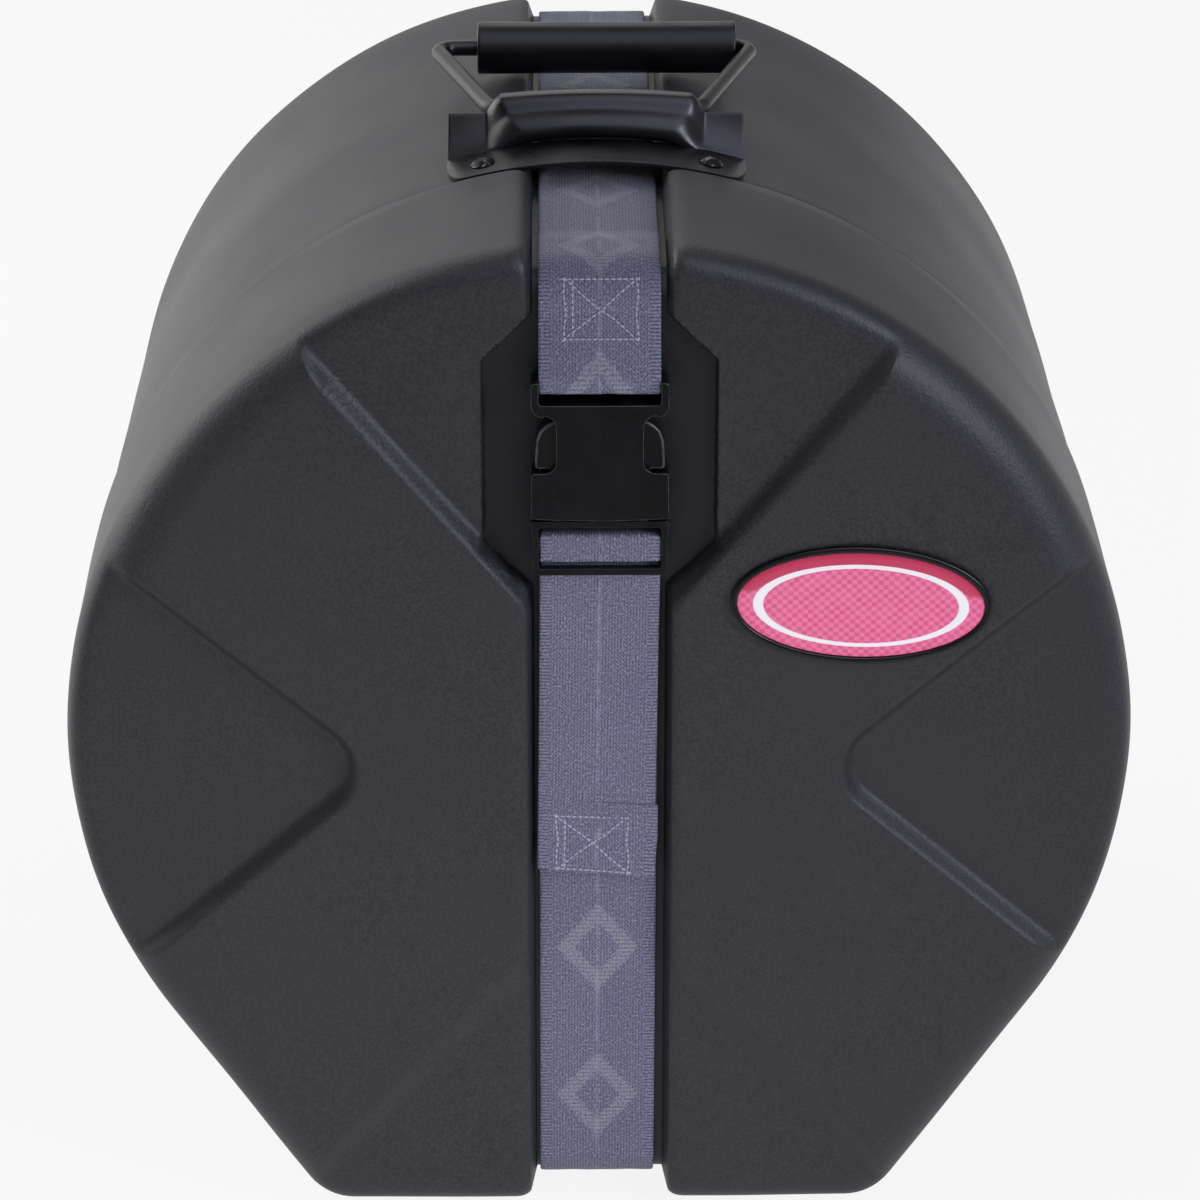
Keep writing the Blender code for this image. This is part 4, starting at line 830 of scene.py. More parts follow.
def rounded(corners, steps):
    """A polyline with arcs at its corners; each corner is (u, v, radius)."""
    path = []
    for k, (u, v, radius) in enumerate(corners):
        here = Vector((u, v))
        if radius == 0 or k in (0, len(corners) - 1):
            path.append((u, v))
            continue
        back = (Vector(corners[k - 1][:2]) - here).normalized()
        ahead = (Vector(corners[k + 1][:2]) - here).normalized()
        half = back.angle(ahead) / 2
        centre = here + (back + ahead).normalized() * (radius / math.sin(half))
        first = here + back * (radius / math.tan(half)) - centre
        last = here + ahead * (radius / math.tan(half)) - centre
        start = math.atan2(first.y, first.x)
        sweep = (math.atan2(last.y, last.x) - start + math.pi) % (2 * math.pi) - math.pi
        count = max(2, round(steps * abs(sweep) / QUARTER))
        for step in range(count + 1):
            turn = start + sweep * step / count
            path.append((centre.x + radius * math.cos(turn), centre.y + radius * math.sin(turn)))
    return path


def strap_stretches():
    """The strap's centre line in y and z: the upper fold to the seam, round the back, then up to the tail's fold."""
    top, low = CHANNEL_TOP + FIRST, CHANNEL_DEPTH - FIRST
    back = Y_BACK - CHANNEL_DEPTH + FIRST
    bend = CHANNEL_BEND + FIRST
    wrap = BAR_RADIUS + WEB_GAP + WEB_THICK / 2
    second = FIRST + LAYER
    front = Y_CHANNEL - second
    bar = Y_CHANNEL - BUCKLE_MID
    start = CHANNEL_TOP - CHANNEL_BEND
    mid = (Y_FACE + Y_SEAM) / 2
    upper = [
        (Y_CHANNEL - FIRST, start + WEB_THICK, 0),
        (Y_CHANNEL - FIRST, (BAR_HEIGHT + start) / 2 + wrap, BAR_RADIUS * 2),
        (bar + wrap, BAR_HEIGHT + wrap, BAR_RADIUS),
        (bar + wrap, BAR_HEIGHT - wrap, wrap - TOUCH),
        (bar - wrap, BAR_HEIGHT - wrap, wrap - TOUCH),
        (bar - wrap, BAR_HEIGHT + wrap, BAR_RADIUS),
        (front, start - LAYER, BAR_RADIUS),
        (front, top + LAYER, CHANNEL_BEND + second),
        (mid - CHANNEL_BEND, top + LAYER, CHANNEL_BEND),
        (mid, top, CHANNEL_BEND),
        (Y_SEAM, top, 0),
    ]
    behind = [(Y_SEAM, top, 0), (back, top - BODY_DRAFT, bend), (back, low, bend), (Y_SEAM, low, 0)]
    half = WEB_THICK / 2
    standing = Y_CHANNEL - FIRST
    under = Y_CHANNEL - (BUCKLE_MID - MALE_THICK / 2) + TOUCH + half
    over = Y_CHANNEL - (BUCKLE_MID + BAR_HALF) - WEB_GAP - half
    through = Y_CHANNEL - (BUCKLE_MID + MALE_THICK / 2) + TAIL_SLOT + WEB_GAP + half
    leaves_floor, lies_down = 0.292, 0.278
    tail, fold = Y_CHANNEL - second - LAYER, Y_CHANNEL - second
    high, down = UPPER_SLOT[0] + WEB_GAP + half, LOWER_SLOT[1] - WEB_GAP - half
    turn = half + TOUCH
    fold_turn = (fold - tail) / 2 - TOUCH / 10
    lower = [
        (Y_SEAM, low, 0),
        (standing, low, bend),
        (standing, leaves_floor, CHANNEL_BEND),
        (under, MALE_BOTTOM, CHANNEL_BEND),
        (under, high, turn),
        (over, high, turn),
        (over, down, turn),
        (through, down, turn),
        (through, MALE_BOTTOM, CHANNEL_BEND),
        (tail, lies_down, CHANNEL_BEND),
        (tail, TAIL_END + half, fold_turn),
        (fold, TAIL_END + half, fold_turn),
        (fold, TAIL_END + TAIL_FOLD, 0),
    ]
    return rounded(upper, 9), rounded(behind, 9), rounded(lower, 9)


class Strap:
    """The webbing as one long ribbon; a place on it is its length along and its distance across."""

    def __init__(self):
        upper, behind, lower = strap_stretches()
        path = []
        for point in upper + behind + lower:
            if path and math.dist(path[-1], point) < 1e-5:
                continue
            if path:
                longest = 0.003
                count = max(1, math.ceil(math.dist(path[-1], point) / longest))
                first = np.array(path[-1])
                for step in range(1, count):
                    path.append(tuple(first + (np.array(point) - first) * step / count))
            path.append(point)
        self.path = np.array(path)
        steps = np.diff(self.path, axis=0)
        lengths = np.linalg.norm(steps, axis=1)
        self.length = np.concatenate([[0], np.cumsum(lengths)])
        way = steps / lengths[:, None]
        normal = np.stack([-way[:, 1], way[:, 0]], -1)
        before = np.concatenate([normal[:1], normal])
        after = np.concatenate([normal, normal[-1:]])
        middle = before + after
        middle /= np.linalg.norm(middle, axis=1, keepdims=True)
        self.normal = middle / np.maximum((middle * before).sum(1), 0.6)[:, None]
        tail_end = self.length[-1] - TAIL_FOLD
        tail_top = tail_end - TAIL_LENGTH
        foot = tail_top - 0.33
        # How far the strap wanders to one side, at places along it.
        places = [0, 0.25, foot - 0.3, foot, foot + 0.20, tail_top, tail_end, tail_end + 0.02]
        self.shift = np.interp(self.length, places, [0, 0, 0, -0.0012, -0.0006, 0.0002, -0.0016, -0.0002])
        fade = 0.02
        self.tail = np.clip((self.length - tail_top) / fade, 0, 1) * np.clip((tail_end - self.length) / fade, 0, 1)

    def at(self, along, across, lift):
        """Points on the strap; lift is the distance off its middle, towards the outside of the case."""
        curves = (self.shift, *self.path.T, *self.normal.T, self.tail)
        x, y, z, off_y, off_z, tail = (np.interp(along, self.length, curve) for curve in curves)
        x = x + across
        # The tail bows off the strap under it, and its sewn end is lifted and slanted.
        sewn_length, slant = 0.05, 0.08
        sewn = np.clip((along - self.length[-1] + TAIL_FOLD + sewn_length) / sewn_length, 0, 1)
        bow = tail * (0.0005 + 0.0004 * np.sin(along * 55 + across * 30)) + TAIL_LIFT * sewn ** 3
        return np.stack([x, y + off_y * lift - bow, z + off_z * lift - slant * sewn * across], -1)

    def where(self, z, from_end=False):
        """The length along at which the outer layer on the front passes a height."""
        order = range(len(self.path) - 1, 0, -1) if from_end else range(1, len(self.path))
        passed = 0
        for k in order:
            low, high = sorted((self.path[k - 1][1], self.path[k][1]))
            if low <= z <= high:
                passed += 1
                if passed == 2:
                    return self.length[k]
        return 0.0


def unwrap(data, name, spots):
    """Give a mesh a UV map from one spot a vertex."""
    corners = np.empty(len(data.loops), int)
    data.loops.foreach_get("vertex_index", corners)
    data.uv_layers.new(name=name).data.foreach_set("uv", spots[corners].astype(np.float32).ravel())


def webbing(strap, finish):
    """The strap's mesh: two faces that meet at thin, slightly serrated edges."""
    half, edge = WEB_WIDTH / 2, 0.0012
    rim = half - edge * np.array([0.0, 0.15, 0.45])
    across = np.concatenate([-rim, np.linspace(-half + edge, half - edge, 15), rim[::-1]])
    lift = WEB_THICK / 2 * np.sqrt(np.clip(1 - (np.maximum(np.abs(across) - half + edge, 0) / edge) ** 2, 0, 1))
    along = strap.length[:, None]
    uneven = 0.00006 * np.sin(along * 420 + across * 260) + 0.00006 * np.sin(along * 170 - across * 500)
    outer = strap.at(along + 0 * across, across + 0 * along, lift + uneven)
    inner = strap.at(along + 0 * across, across + 0 * along, -lift + uneven)
    outer[:, 0] = inner[:, 0]
    outer[:, -1] = inner[:, -1]
    ring = np.concatenate([outer, inner[:, ::-1]], 1)
    rows, columns = ring.shape[:2]
    sides = quads(np.arange(rows * columns).reshape(rows, columns), closed=True)
    count = len(across)
    ends = []
    for row in (0, rows - 1):
        base = row * columns
        ends += [(base + k, base + k + 1, base + columns - 2 - k, base + columns - 1 - k) for k in range(count - 1)]
    data = net("webbing_strap", ring.reshape(-1, 3), sides.tolist() + ends)
    spots = np.stack([np.broadcast_to(np.concatenate([across, across[::-1]]) + half, (rows, columns)),
                      np.broadcast_to(along, (rows, columns))], -1).reshape(-1, 2)
    side = np.concatenate([np.ones(count), np.zeros(columns - count)])
    face_side = data.attributes.new("face_side", "FLOAT", "POINT")
    face_side.data.foreach_set("value", np.tile(side, rows).astype(np.float32))
    unwrap(data, "weave", spots)
    return smooth(stand("webbing_strap", clean(data, WELD / 2), finish), 50)


def tree_of(name, sizes):
    """A geometry node tree with a geometry in and out, and its named sizes."""
    tree = bpy.data.node_groups.new(name, "GeometryNodeTree")
    tree.interface.new_socket("Geometry", in_out="INPUT", socket_type="NodeSocketGeometry")
    tree.interface.new_socket("Geometry", in_out="OUTPUT", socket_type="NodeSocketGeometry")
    for label in sizes:
        tree.interface.new_socket(label, in_out="INPUT", socket_type="NodeSocketFloat")
    return tree, tree.nodes.new("NodeGroupInput"), tree.nodes.new("NodeGroupOutput")


def run_tree(item, tree, sizes):
    """Put a tree on an object and set its sizes by their sockets' identifiers."""
    modifier = item.modifiers.new(tree.name, "NODES")
    modifier.node_group = tree
    for socket in tree.interface.items_tree:
        if socket.in_out == "INPUT" and socket.name in sizes:
            modifier[socket.identifier] = sizes[socket.name]
    return item


def stitching(name, lines, finish):
    """Lock stitches along lines: short fat threads laid end to end."""
    sizes = {"Pitch": 0.0024, "Stitch Length": 0.00105, "Thread": 0.00042}
    tree, source, target = tree_of("lock_stitch", sizes)
    curve = add(tree, "GeometryNodeMeshToCurve", source)
    points = add(tree, "GeometryNodeCurveToPoints", curve, source.outputs["Pitch"], mode="LENGTH")
    ball = add(tree, "GeometryNodeMeshUVSphere", 7, 5, 1.0)
    thick, long = source.outputs["Thread"], source.outputs["Stitch Length"]
    size = add(tree, "ShaderNodeCombineXYZ", thick, thick, long)
    laid = add(tree, "GeometryNodeInstanceOnPoints", points,
               named={"Instance": ball, "Rotation": points.outputs["Rotation"], "Scale": size})
    soft = add(tree, "GeometryNodeSetShadeSmooth", add(tree, "GeometryNodeRealizeInstances", laid))
    painted = add(tree, "GeometryNodeSetMaterial", soft, named={"Material": finish})
    fill(tree, target, {"Geometry": painted})
    points, edges = [], []
    for line in lines:
        start = len(points)
        points += list(line)
        edges += [(start + k, start + k + 1) for k in range(len(line) - 1)]
    return run_tree(stand(name, net(name, points, [], edges)), tree, sizes)


def stitch_box(strap, middle, length, left, right, side, skew=0.0):
    """A sewn box with a cross in it, on one side of the strap."""
    corners = [(-length / 2, left), (-length / 2, right), (length / 2, right), (length / 2, left)]
    ways = [(0, 1), (1, 2), (2, 3), (3, 0), (0, 2), (1, 3)]
    lift = side * (WEB_THICK / 2 + THREAD_LIFT)
    lines = []
    for number, (first, last) in enumerate(ways):
        share = np.linspace(0.0, 1.0, 14)
        along = middle + corners[first][0] + (corners[last][0] - corners[first][0]) * share
        across = corners[first][1] + (corners[last][1] - corners[first][1]) * share
        across = across + 0.0004 * np.sin(share * 9 + number) + skew * (along - middle)
        lines.append(strap.at(along, across, lift))
    # One side is sewn twice, the second time a little further in.
    doubled = middle + np.linspace(-0.4, 0.45, 12) * length
    return lines + [strap.at(doubled, np.full(12, left + 0.0032), lift)]


def slab(name, outline, depth, thick, finish=None):
    """A flat moulding: an outline in x and z with a thickness about a depth in front of the channel's floor."""
    middle = Y_CHANNEL - depth
    count = len(outline)
    points = [(x, y, z) for y in (middle - thick / 2, middle + thick / 2) for x, z in outline]
    faces = [tuple(range(count)), tuple(range(count, 2 * count))]
    faces += [(k, count + k, count + (k + 1) % count, (k + 1) % count) for k in range(count)]
    return stand(name, clean(net(name, points, faces), 0.0), finish)


def cut(item, cutter, operation="DIFFERENCE"):
    """Take the cutter out of a piece, or join it to the piece."""
    modifier = item.modifiers.new(cutter.name, "BOOLEAN")
    modifier.operation = operation
    modifier.object = cutter
    cutter.hide_render = True
    return cutter


def round_edges(item, width, segments, angle=32, edge_finish=None):
    """Round every hard edge; the rounding can have its own finish."""
    modifier = item.modifiers.new("edges", "BEVEL")
    if edge_finish:
        item.data.materials.append(edge_finish)
        modifier.material = 1
    modifier.width = width
    modifier.segments = segments
    modifier.limit_method = "ANGLE"
    modifier.angle_limit = math.radians(angle)
    return item


def all_round(count):
    """Even angles round a circle."""
    return np.linspace(0, 2 * math.pi, count, endpoint=False)


def arc(centre, radius, start, end, steps):
    """Points on an arc about a centre."""
    turns = np.linspace(start, end, steps + 1)
    return [(centre[0] + radius * math.cos(t), centre[1] + radius * math.sin(t)) for t in turns]


def mirrored(right):
    """A closed outline from its right-hand half."""
    return right + [(-x, z) for x, z in reversed(right)]


def plate(half, low, high, corner):
    """A rounded rectangle in x and z."""
    right = arc((half - corner, low + corner), corner, -QUARTER, 0, 4)
    right += arc((half - corner, high - corner), corner, 0, QUARTER, 4)
    return mirrored(right)


def bake(item, cutters, angle=32, flat=False):
    """Apply the modifiers and drop the cutters; flat keeps the large faces flat between their rounded edges."""
    data = applied(item)
    item.modifiers.clear()
    item.data = data
    for cutter in cutters:
        bpy.data.objects.remove(cutter)
    if flat:
        modifier = item.modifiers.new("flat", "WEIGHTED_NORMAL")
        modifier.keep_sharp = True
        modifier.weight = 100
    return smooth(item, angle)


def buckle_socket(finish, worn_and_highlit_edge):
    """The buckle's upper half: ears, a waist at the release windows, and a hollow for the prongs."""
    half, waist = 0.0277, 0.0176
    high, low, shoulder = 0.3700, 0.3500, 0.3794
    hook = (half - waist) / 2
    corner, ear_corner, gap_corner, ear = 0.0012, 0.0015, 0.0014, 0.0031
    right = [(x, BUCKLE_LINE + 0.0003 + 0.0009 * (x / half) ** 2) for x in (0.007, 0.014, 0.020, 0.0245)]
    right += [(half + 0.0004, BUCKLE_LINE + 0.0014), (half + 0.0001, BUCKLE_LINE + 0.0050), (half, low - corner)]
    right += arc((half - corner, low - corner), corner, 0, QUARTER, 3)
    right += arc((waist + hook, low + hook), hook, -QUARTER, -math.pi, 8)
    right += arc((waist + hook, high), hook, math.pi, QUARTER, 8)
    right += arc((half - hook, shoulder), hook, -QUARTER, 0, 8)
    right += arc((half - ear_corner, FEMALE_TOP - ear_corner), ear_corner, 0, QUARTER, 4)
    item = slab("buckle_socket", mirrored(right), BUCKLE_MID, BUCKLE_THICK, finish)
    gap, past = half - ear, 0.01
    notch = arc((gap - gap_corner, shoulder + gap_corner), gap_corner, -QUARTER, 0, 4) + [(gap, FEMALE_TOP + past)]
    room = plate(0.0240, BUCKLE_LINE - past, 0.3740, 0.001)
    cutters = [cut(item, slab("ear_gap", mirrored(notch), BUCKLE_MID, 0.03)),
               cut(item, slab("prong_hollow", room, BUCKLE_MID, PRONG_THICK + 0.0010))]
    # The rounded edges get the paler finish: wear with a painted highlight.
    round_edges(item, 0.0010, 3, edge_finish=worn_and_highlit_edge)
    return bake(item, cutters, 50, flat=True)


def buckle_bar(finish):
    """The bar between the ears that the webbing goes round."""
    turns = all_round(20)
    y = Y_CHANNEL - BUCKLE_MID
    rows = np.array([[(x, y + BAR_RADIUS * math.cos(t), BAR_HEIGHT + BAR_RADIUS * math.sin(t)) for t in turns]
                     for x in np.linspace(-0.0262, 0.0262, 5)])
    skin = Skin()
    skin.grid(rows, closed=True)
    skin.fan(rows[0])
    skin.fan(rows[-1])
    return skin.make("buckle_webbing_bar", finish)


def buckle_frame(finish, worn_and_highlit_edge):
    """The buckle's lower half: a rounded frame, the bar the webbing goes over, and the guide blade."""
    corner, top = 0.0026, MALE_TOP - 0.0005
    half = 0.0270
    right = arc((half - corner, MALE_BOTTOM + corner), corner, -QUARTER, 0, 5)
    right += [(half + 0.0002, MALE_TOP - 0.008), (half + 0.0009, top - 0.0008), (half, top)]
    item = slab("buckle_frame", mirrored(right), BUCKLE_MID, MALE_THICK, finish)
    slot, slot_corner, past, bar_step = WEB_WIDTH / 2 + 0.0004, 0.0012, 0.01, 0.0002
    cutters = [cut(item, slab(name, plate(slot, *ends, slot_corner), BUCKLE_MID, MALE_THICK + past))
               for name, ends in (("upper_slot", UPPER_SLOT), ("lower_slot", LOWER_SLOT))]
    relief = 0.006
    bar = mirrored([(slot, LOWER_SLOT[1] - bar_step), (slot, UPPER_SLOT[0] + bar_step)])
    for sign in (-1, 1):
        cutters.append(cut(item, slab("bar_relief", bar, BUCKLE_MID + sign * (BAR_HALF + relief / 2), relief)))
    behind = mirrored([(slot, MALE_BOTTOM - past), (slot, LOWER_SLOT[0] + bar_step)])
    cutters.append(cut(item, slab("tail_gap", behind, BUCKLE_MID - 0.0045, 0.010)))
    blade = mirrored([(0.0065, MALE_TOP - 0.0015), (0.0065, 0.3648), (0.0033, 0.3680)])
    cutters.append(cut(item, slab("guide_blade", blade, BUCKLE_MID, PRONG_THICK), "UNION"))
    round_edges(item, 0.0008, 3, edge_finish=worn_and_highlit_edge)
    return bake(item, cutters, 50, flat=True)


def buckle_prong(side, word, finish, worn_and_highlit_edge):
    """A spring arm with its rounded release pad."""
    inner, outer, pad = 0.0145, 0.0195, 0.0263
    root, low, high, top, corner = 0.3274, 0.3508, 0.3692, 0.3717, 0.0016
    shape = [(inner, root), (outer, root), (outer, low - 0.0015), (outer + 0.0014, low)]
    shape += arc((pad - corner, low + corner), corner, -QUARTER, 0, 4)
    shape += [(pad - 0.0001, low + 0.006), (pad - 0.0006, 0.3636), (pad - 0.0020, 0.3674), (pad - 0.0044, 0.3698)]
    shape += [(outer + 0.0004, top - 0.0005), (outer - 0.0008, top), (inner + 0.0010, top), (inner, high)]
    if side < 0:
        shape = [(-x, z) for x, z in reversed(shape)]
    item = slab(f"release_prong_{word}", shape, BUCKLE_MID, PRONG_THICK, finish)
    round_edges(item, 0.0011, 3, edge_finish=worn_and_highlit_edge)
    return bake(item, [], 50, flat=True)


def body_top(x, y):
    """The height of the bracket's seat on the curved top of the body."""
    return AXIS_HEIGHT + np.sqrt((body_radius(y) + TOUCH) ** 2 - np.square(x))


def drawn_in(y):
    """The bracket's half width at y, drawn in round its corners."""
    near = min(max(min((y - BRACKET_FRONT) / BRACKET_TAPER, (BRACKET_BACK - y) / BRACKET_CORNER), 0.0), 1.0)
    return BRACKET_HALF - BRACKET_CORNER * (1 - math.sqrt(1 - (1 - near) ** 2))


def level_lip(x, y):
    """What the bridge gains towards its ends, so that it is less curved than the case under it."""
    return 0.5 * (body_top(0, y) - body_top(x, y))


def handle_bracket(finish):
    """The handle's pressing: flanges, upswept shoulders, and a bridge that is lanced free along its front lip."""
    columns = np.linspace(-1, 1, 121)
    shares = np.linspace(0, 1, 21)
    last = len(shares) - 1
    # The bridge's profile: a lip, a step and a ridge, as depth behind the fold and rise, in millimetres.
    knots = (0, 0.08, 0.2, 0.38, 0.6, 0.78, 0.93, 1)
    depths, rises = (-0.9, -1.1, -0.4, 1.8, 5.6, 7.4, 9.4, 12.0), (5.6, 6.4, 7.9, 10.4, 12.4, 14.9, 18.0, 17.5)
    bridge = np.stack([np.interp(shares, knots, depths), np.interp(shares, knots, rises)], -1) / 1000
    for _ in range(2):
        bridge[1:-1] = (bridge[:-2] + 2 * bridge[1:-1] + bridge[2:]) / 4
    # Below its lip the bridge curls under, almost down to the flange. The last point is next to the lip.
    curl = [(0.0034, 0.0034), (0.0024, 0.0031), (0.0014, 0.0033), (0.0004, 0.0040), (-0.0004, 0.0048)]
    level = body_top(0, BRACKET_EDGE) + BRACKET_LEVEL
    flange_rows = BRACKET_FRONT + BRACKET_TAPER * (1 - np.cos(np.linspace(0, QUARTER, 13)))
    flange_rows = np.concatenate([flange_rows, np.linspace(flange_rows[-1], BRACKET_FOLD, 6)[1:]])
    points, faces, place = [], [], {}

    def vertex(key, x, y, up):
        """A point at a height above the case, made once for each key."""
        if key not in place:
            place[key] = len(points)
            points.append((x, y, body_top(x, y) + up))
        return place[key]

    def flange(c, r):
        """A point of the front flange, which lies on the case."""
        y = flange_rows[r]
        return vertex(("flange", c, r), columns[c] * drawn_in(y), y, 0.0)

    def raised(c, r):
        """A point of the shoulders and the bridge's front; below the lip r is negative."""
        x = columns[c] * BRACKET_HALF
        if r <= 0 and abs(x) >= BRIDGE_RAMP:
            return flange(c, len(flange_rows) - 1)
        share = shares[max(r, 0)]
        flat = BRIDGE_FLAT + BRIDGE_SPREAD * share ** 0.6
        across = ramp(abs(x) - BRIDGE_RAMP, BRIDGE_RAMP - flat)
        ramp_y = BRACKET_FOLD + (BRACKET_EDGE - BRACKET_FOLD) * share
        shoulder = (level - body_top(x, BRACKET_EDGE)) * (0.5 * share + 0.5 * share ** 2.2)
        back, rise = bridge[r] if r >= 0 else curl[r]
        y = ramp_y + (BRACKET_FOLD + back - ramp_y) * across
        rise = rise + share * level_lip(x, ramp_y)
        return vertex(("raised", c, r), x, y, shoulder + (rise - shoulder) * across)

    # The roof falls a little towards the back, and its rear wall turns out into the rear flange.
    span, fall = BRACKET_CREST - BRACKET_EDGE, 0.0032
    over_rows = [(BRACKET_EDGE + span * s, BRIDGE_RISE - fall * s ** 1.5) for s in (0.25, 0.5, 0.75, 0.88)]
    over_rows += [(BRACKET_CREST + back, up) for back, up in (
        (-0.0006, BRIDGE_RISE - fall - 0.0006), (0.0, BRIDGE_RISE - fall - 0.0020), (0.0, 0.0095), (0.0, 0.0040),
        (0.0003, 0.0014), (0.0013, 0.0003), (0.0026, 0.0))]
    wide = len(over_rows) - 1
    corner = BRACKET_BACK - BRACKET_CORNER
    over_rows += [(y, 0.0) for y in np.linspace(over_rows[-1][0], corner, 3)[1:]]
    over_rows += [(corner + BRACKET_CORNER * math.sin(t), 0.0) for t in np.linspace(0, QUARTER, 9)[1:]]

    def over(c, r):
        """A point of the roof, the rear wall and the rear flange."""
        if r < 0:
            return raised(c, last)
        y, up = over_rows[r]
        x = columns[c] * (BRACKET_HALF if r < wide else drawn_in(y))
        return vertex(("over", c, r), x, y, up * (1 + level_lip(x, y) / BRIDGE_RISE))

    def patch(corner, c, r):
        """A face between two columns and two rows; a corner that repeats makes it a triangle."""
        ring = tuple(dict.fromkeys((corner(c, r), corner(c + 1, r), corner(c + 1, r + 1), corner(c, r + 1))))
        if len(ring) > 2:
            faces.append(ring)

    for c in range(len(columns) - 1):
        for r in range(len(flange_rows) - 1):
            patch(flange, c, r)
        for r in range(-len(curl), last):
            patch(raised, c, r)
        on_bridge = max(abs(columns[c]), abs(columns[c + 1])) * BRACKET_HALF < BRIDGE_HALF + 0.0006
        for r in range(-1, len(over_rows) - 1):
            if r >= wide or on_bridge:
                patch(over, c, r)
    item = stand("handle_pressing", net("handle_pressing", points, faces), finish)
    sheet = item.modifiers.new("sheet", "SOLIDIFY")
    sheet.thickness = SHEET
    sheet.offset = 1.0
    round_edges(item, 0.00035, 2, 50)
    return bake(item, [], 50)


def bail_tilt():
    """How far the resting bail leans up, with its sleeve on the lobes of the body beside the strap."""
    y = PIVOT_Y + BAIL_REACH
    lobe_x = 0.02955
    lobe = AXIS_HEIGHT + math.sqrt((body_radius(y) + TOUCH) ** 2 - lobe_x ** 2)
    return math.asin((lobe + GRIP_RADIUS - PIVOT_Z) / BAIL_REACH)


def bail(finish):
    """The wire loop that swings: a bar in the bracket, splayed arms, and a side for the grip."""
    bar_bend, grip_bend = 0.009, 0.007
    corners = [(0, 0, 0), (BAIL_BAR, 0, bar_bend), (BAIL_SPREAD, BAIL_REACH, grip_bend), (0, BAIL_REACH, 0)]
    loop = rounded(corners, 12)
    loop = loop + [(-x, y) for x, y in reversed(loop[1:-1])]
    data = bpy.data.curves.new("handle_bail_wire", "CURVE")
    data.dimensions = "3D"
    data.bevel_depth = WIRE
    data.bevel_resolution = 6
    spline = data.splines.new("POLY")
    spline.points.add(len(loop) - 1)
    tilt = bail_tilt()
    for point, (x, y) in zip(spline.points, loop):
        point.co = (x, PIVOT_Y + y * math.cos(tilt), PIVOT_Z + y * math.sin(tilt), 1)
    spline.use_cyclic_u = True
    return stand("handle_bail_wire", data, finish)


def grip(finish):
    """The vinyl sleeve on the bail: straight, square-ended, with a chamfered bore and a moulding seam."""
    tilt = bail_tilt()
    centre = np.array([GRIP_SHIFT, PIVOT_Y + BAIL_REACH * math.cos(tilt), PIVOT_Z + BAIL_REACH * math.sin(tilt)])
    bore, flare, chamfer = 0.0041, 0.0082, 0.0009
    end = [(bore, 0.009 - GRIP_HALF), (flare, 0.0008 - GRIP_HALF), (flare + 0.0006, -GRIP_HALF)]
    end += [(GRIP_RADIUS - chamfer * (1 - math.sin(t)), -GRIP_HALF + chamfer * (1 - math.cos(t)))
            for t in np.linspace(0, QUARTER, 4)]
    waist = [(GRIP_RADIUS - 0.00025 * math.sin(s * math.pi), -GRIP_HALF + 0.002 + s * (2 * GRIP_HALF - 0.004))
             for s in np.linspace(0, 1, 21)]
    turns = all_round(56)
    seam_at, seam_wide, seam_deep = 1.2, 0.05, 0.012
    rows = []
    for radius, along in end + waist + [(r, -along) for r, along in reversed(end)]:
        seam = 1 - seam_deep * np.exp(-((turns - seam_at) / seam_wide) ** 2) * (radius > flare + 0.0008)
        rows.append(np.stack([0 * turns + along, radius * seam * np.cos(turns), radius * seam * np.sin(turns)], -1))
    skin = Skin()
    skin.grid(np.array(rows + rows[:1]) + centre, closed=True)
    return skin.make("grip_sleeve", finish, 40)


def rivets(finish):
    """Domed rivets on the bracket, each laid on a radius of the case, with its shank and upset tail."""
    head, shank, tail = 0.0052, 0.0024, 0.0040
    profile = [(0.0, 0.0024), (0.0016, 0.0023), (0.0030, 0.0019), (0.0043, 0.0011), (head, 0.0003), (head, 0.0),
               (shank, 0.0), (shank, -0.0075), (tail, -0.0077), (tail - 0.0004, -0.0093), (0.0, -0.0095)]
    turns = all_round(16)
    skin = Skin()
    skin.grid(np.array([[(r * math.cos(t), r * math.sin(t), h) for t in turns] for r, h in profile]), closed=True)
    one = skin.make("one_rivet", finish)
    tree, source, target = tree_of("rivet_on_radius", {"Size": 1.0})
    model = add(tree, "GeometryNodeObjectInfo", named={"Object": one}).outputs["Geometry"]
    up = add(tree, "GeometryNodeInputNamedAttribute", "outwards", data_type="FLOAT_VECTOR")
    turn = add(tree, "FunctionNodeAlignRotationToVector", named={"Vector": up}, axis="Z")
    laid = add(tree, "GeometryNodeInstanceOnPoints", source,
               named={"Instance": model, "Rotation": turn, "Scale": source.outputs["Size"]})
    real = add(tree, "GeometryNodeRealizeInstances", laid)
    fill(tree, target, {"Geometry": add(tree, "GeometryNodeSetMaterial", real, named={"Material": finish})})
    rivet_x, front_step, back_step = 0.0475, 0.0125, 0.0085
    lean = math.asin(rivet_x / BODY_RADIUS)
    points, ups = [], []
    for side in (-1, 1):
        for y in (BRACKET_FRONT + front_step, BRACKET_BACK - back_step):
            reach = body_radius(y) + 2 * TOUCH + SHEET
            ups.append((math.sin(side * lean), 0.0, math.cos(side * lean)))
            points.append((reach * ups[-1][0], y, AXIS_HEIGHT + reach * ups[-1][2]))
    data = net("handle_rivets", points, [])
    data.attributes.new("outwards", "FLOAT_VECTOR", "POINT").data.foreach_set("vector", np.array(ups).ravel())
    return bake(run_tree(stand("handle_rivets", data), tree, {"Size": 1.0}), [one])


def oval(half_wide, half_high, y):
    """A ring in the badge's own plane, tilted as the badge is."""
    turns = all_round(96)
    u, v = half_wide * np.cos(turns), half_high * np.sin(turns)
    x = BADGE_X + u * math.cos(BADGE_TILT) - v * math.sin(BADGE_TILT)
    z = BADGE_Z + u * math.sin(BADGE_TILT) + v * math.cos(BADGE_TILT)
    return np.stack([x, np.full(len(turns), y), z], -1)


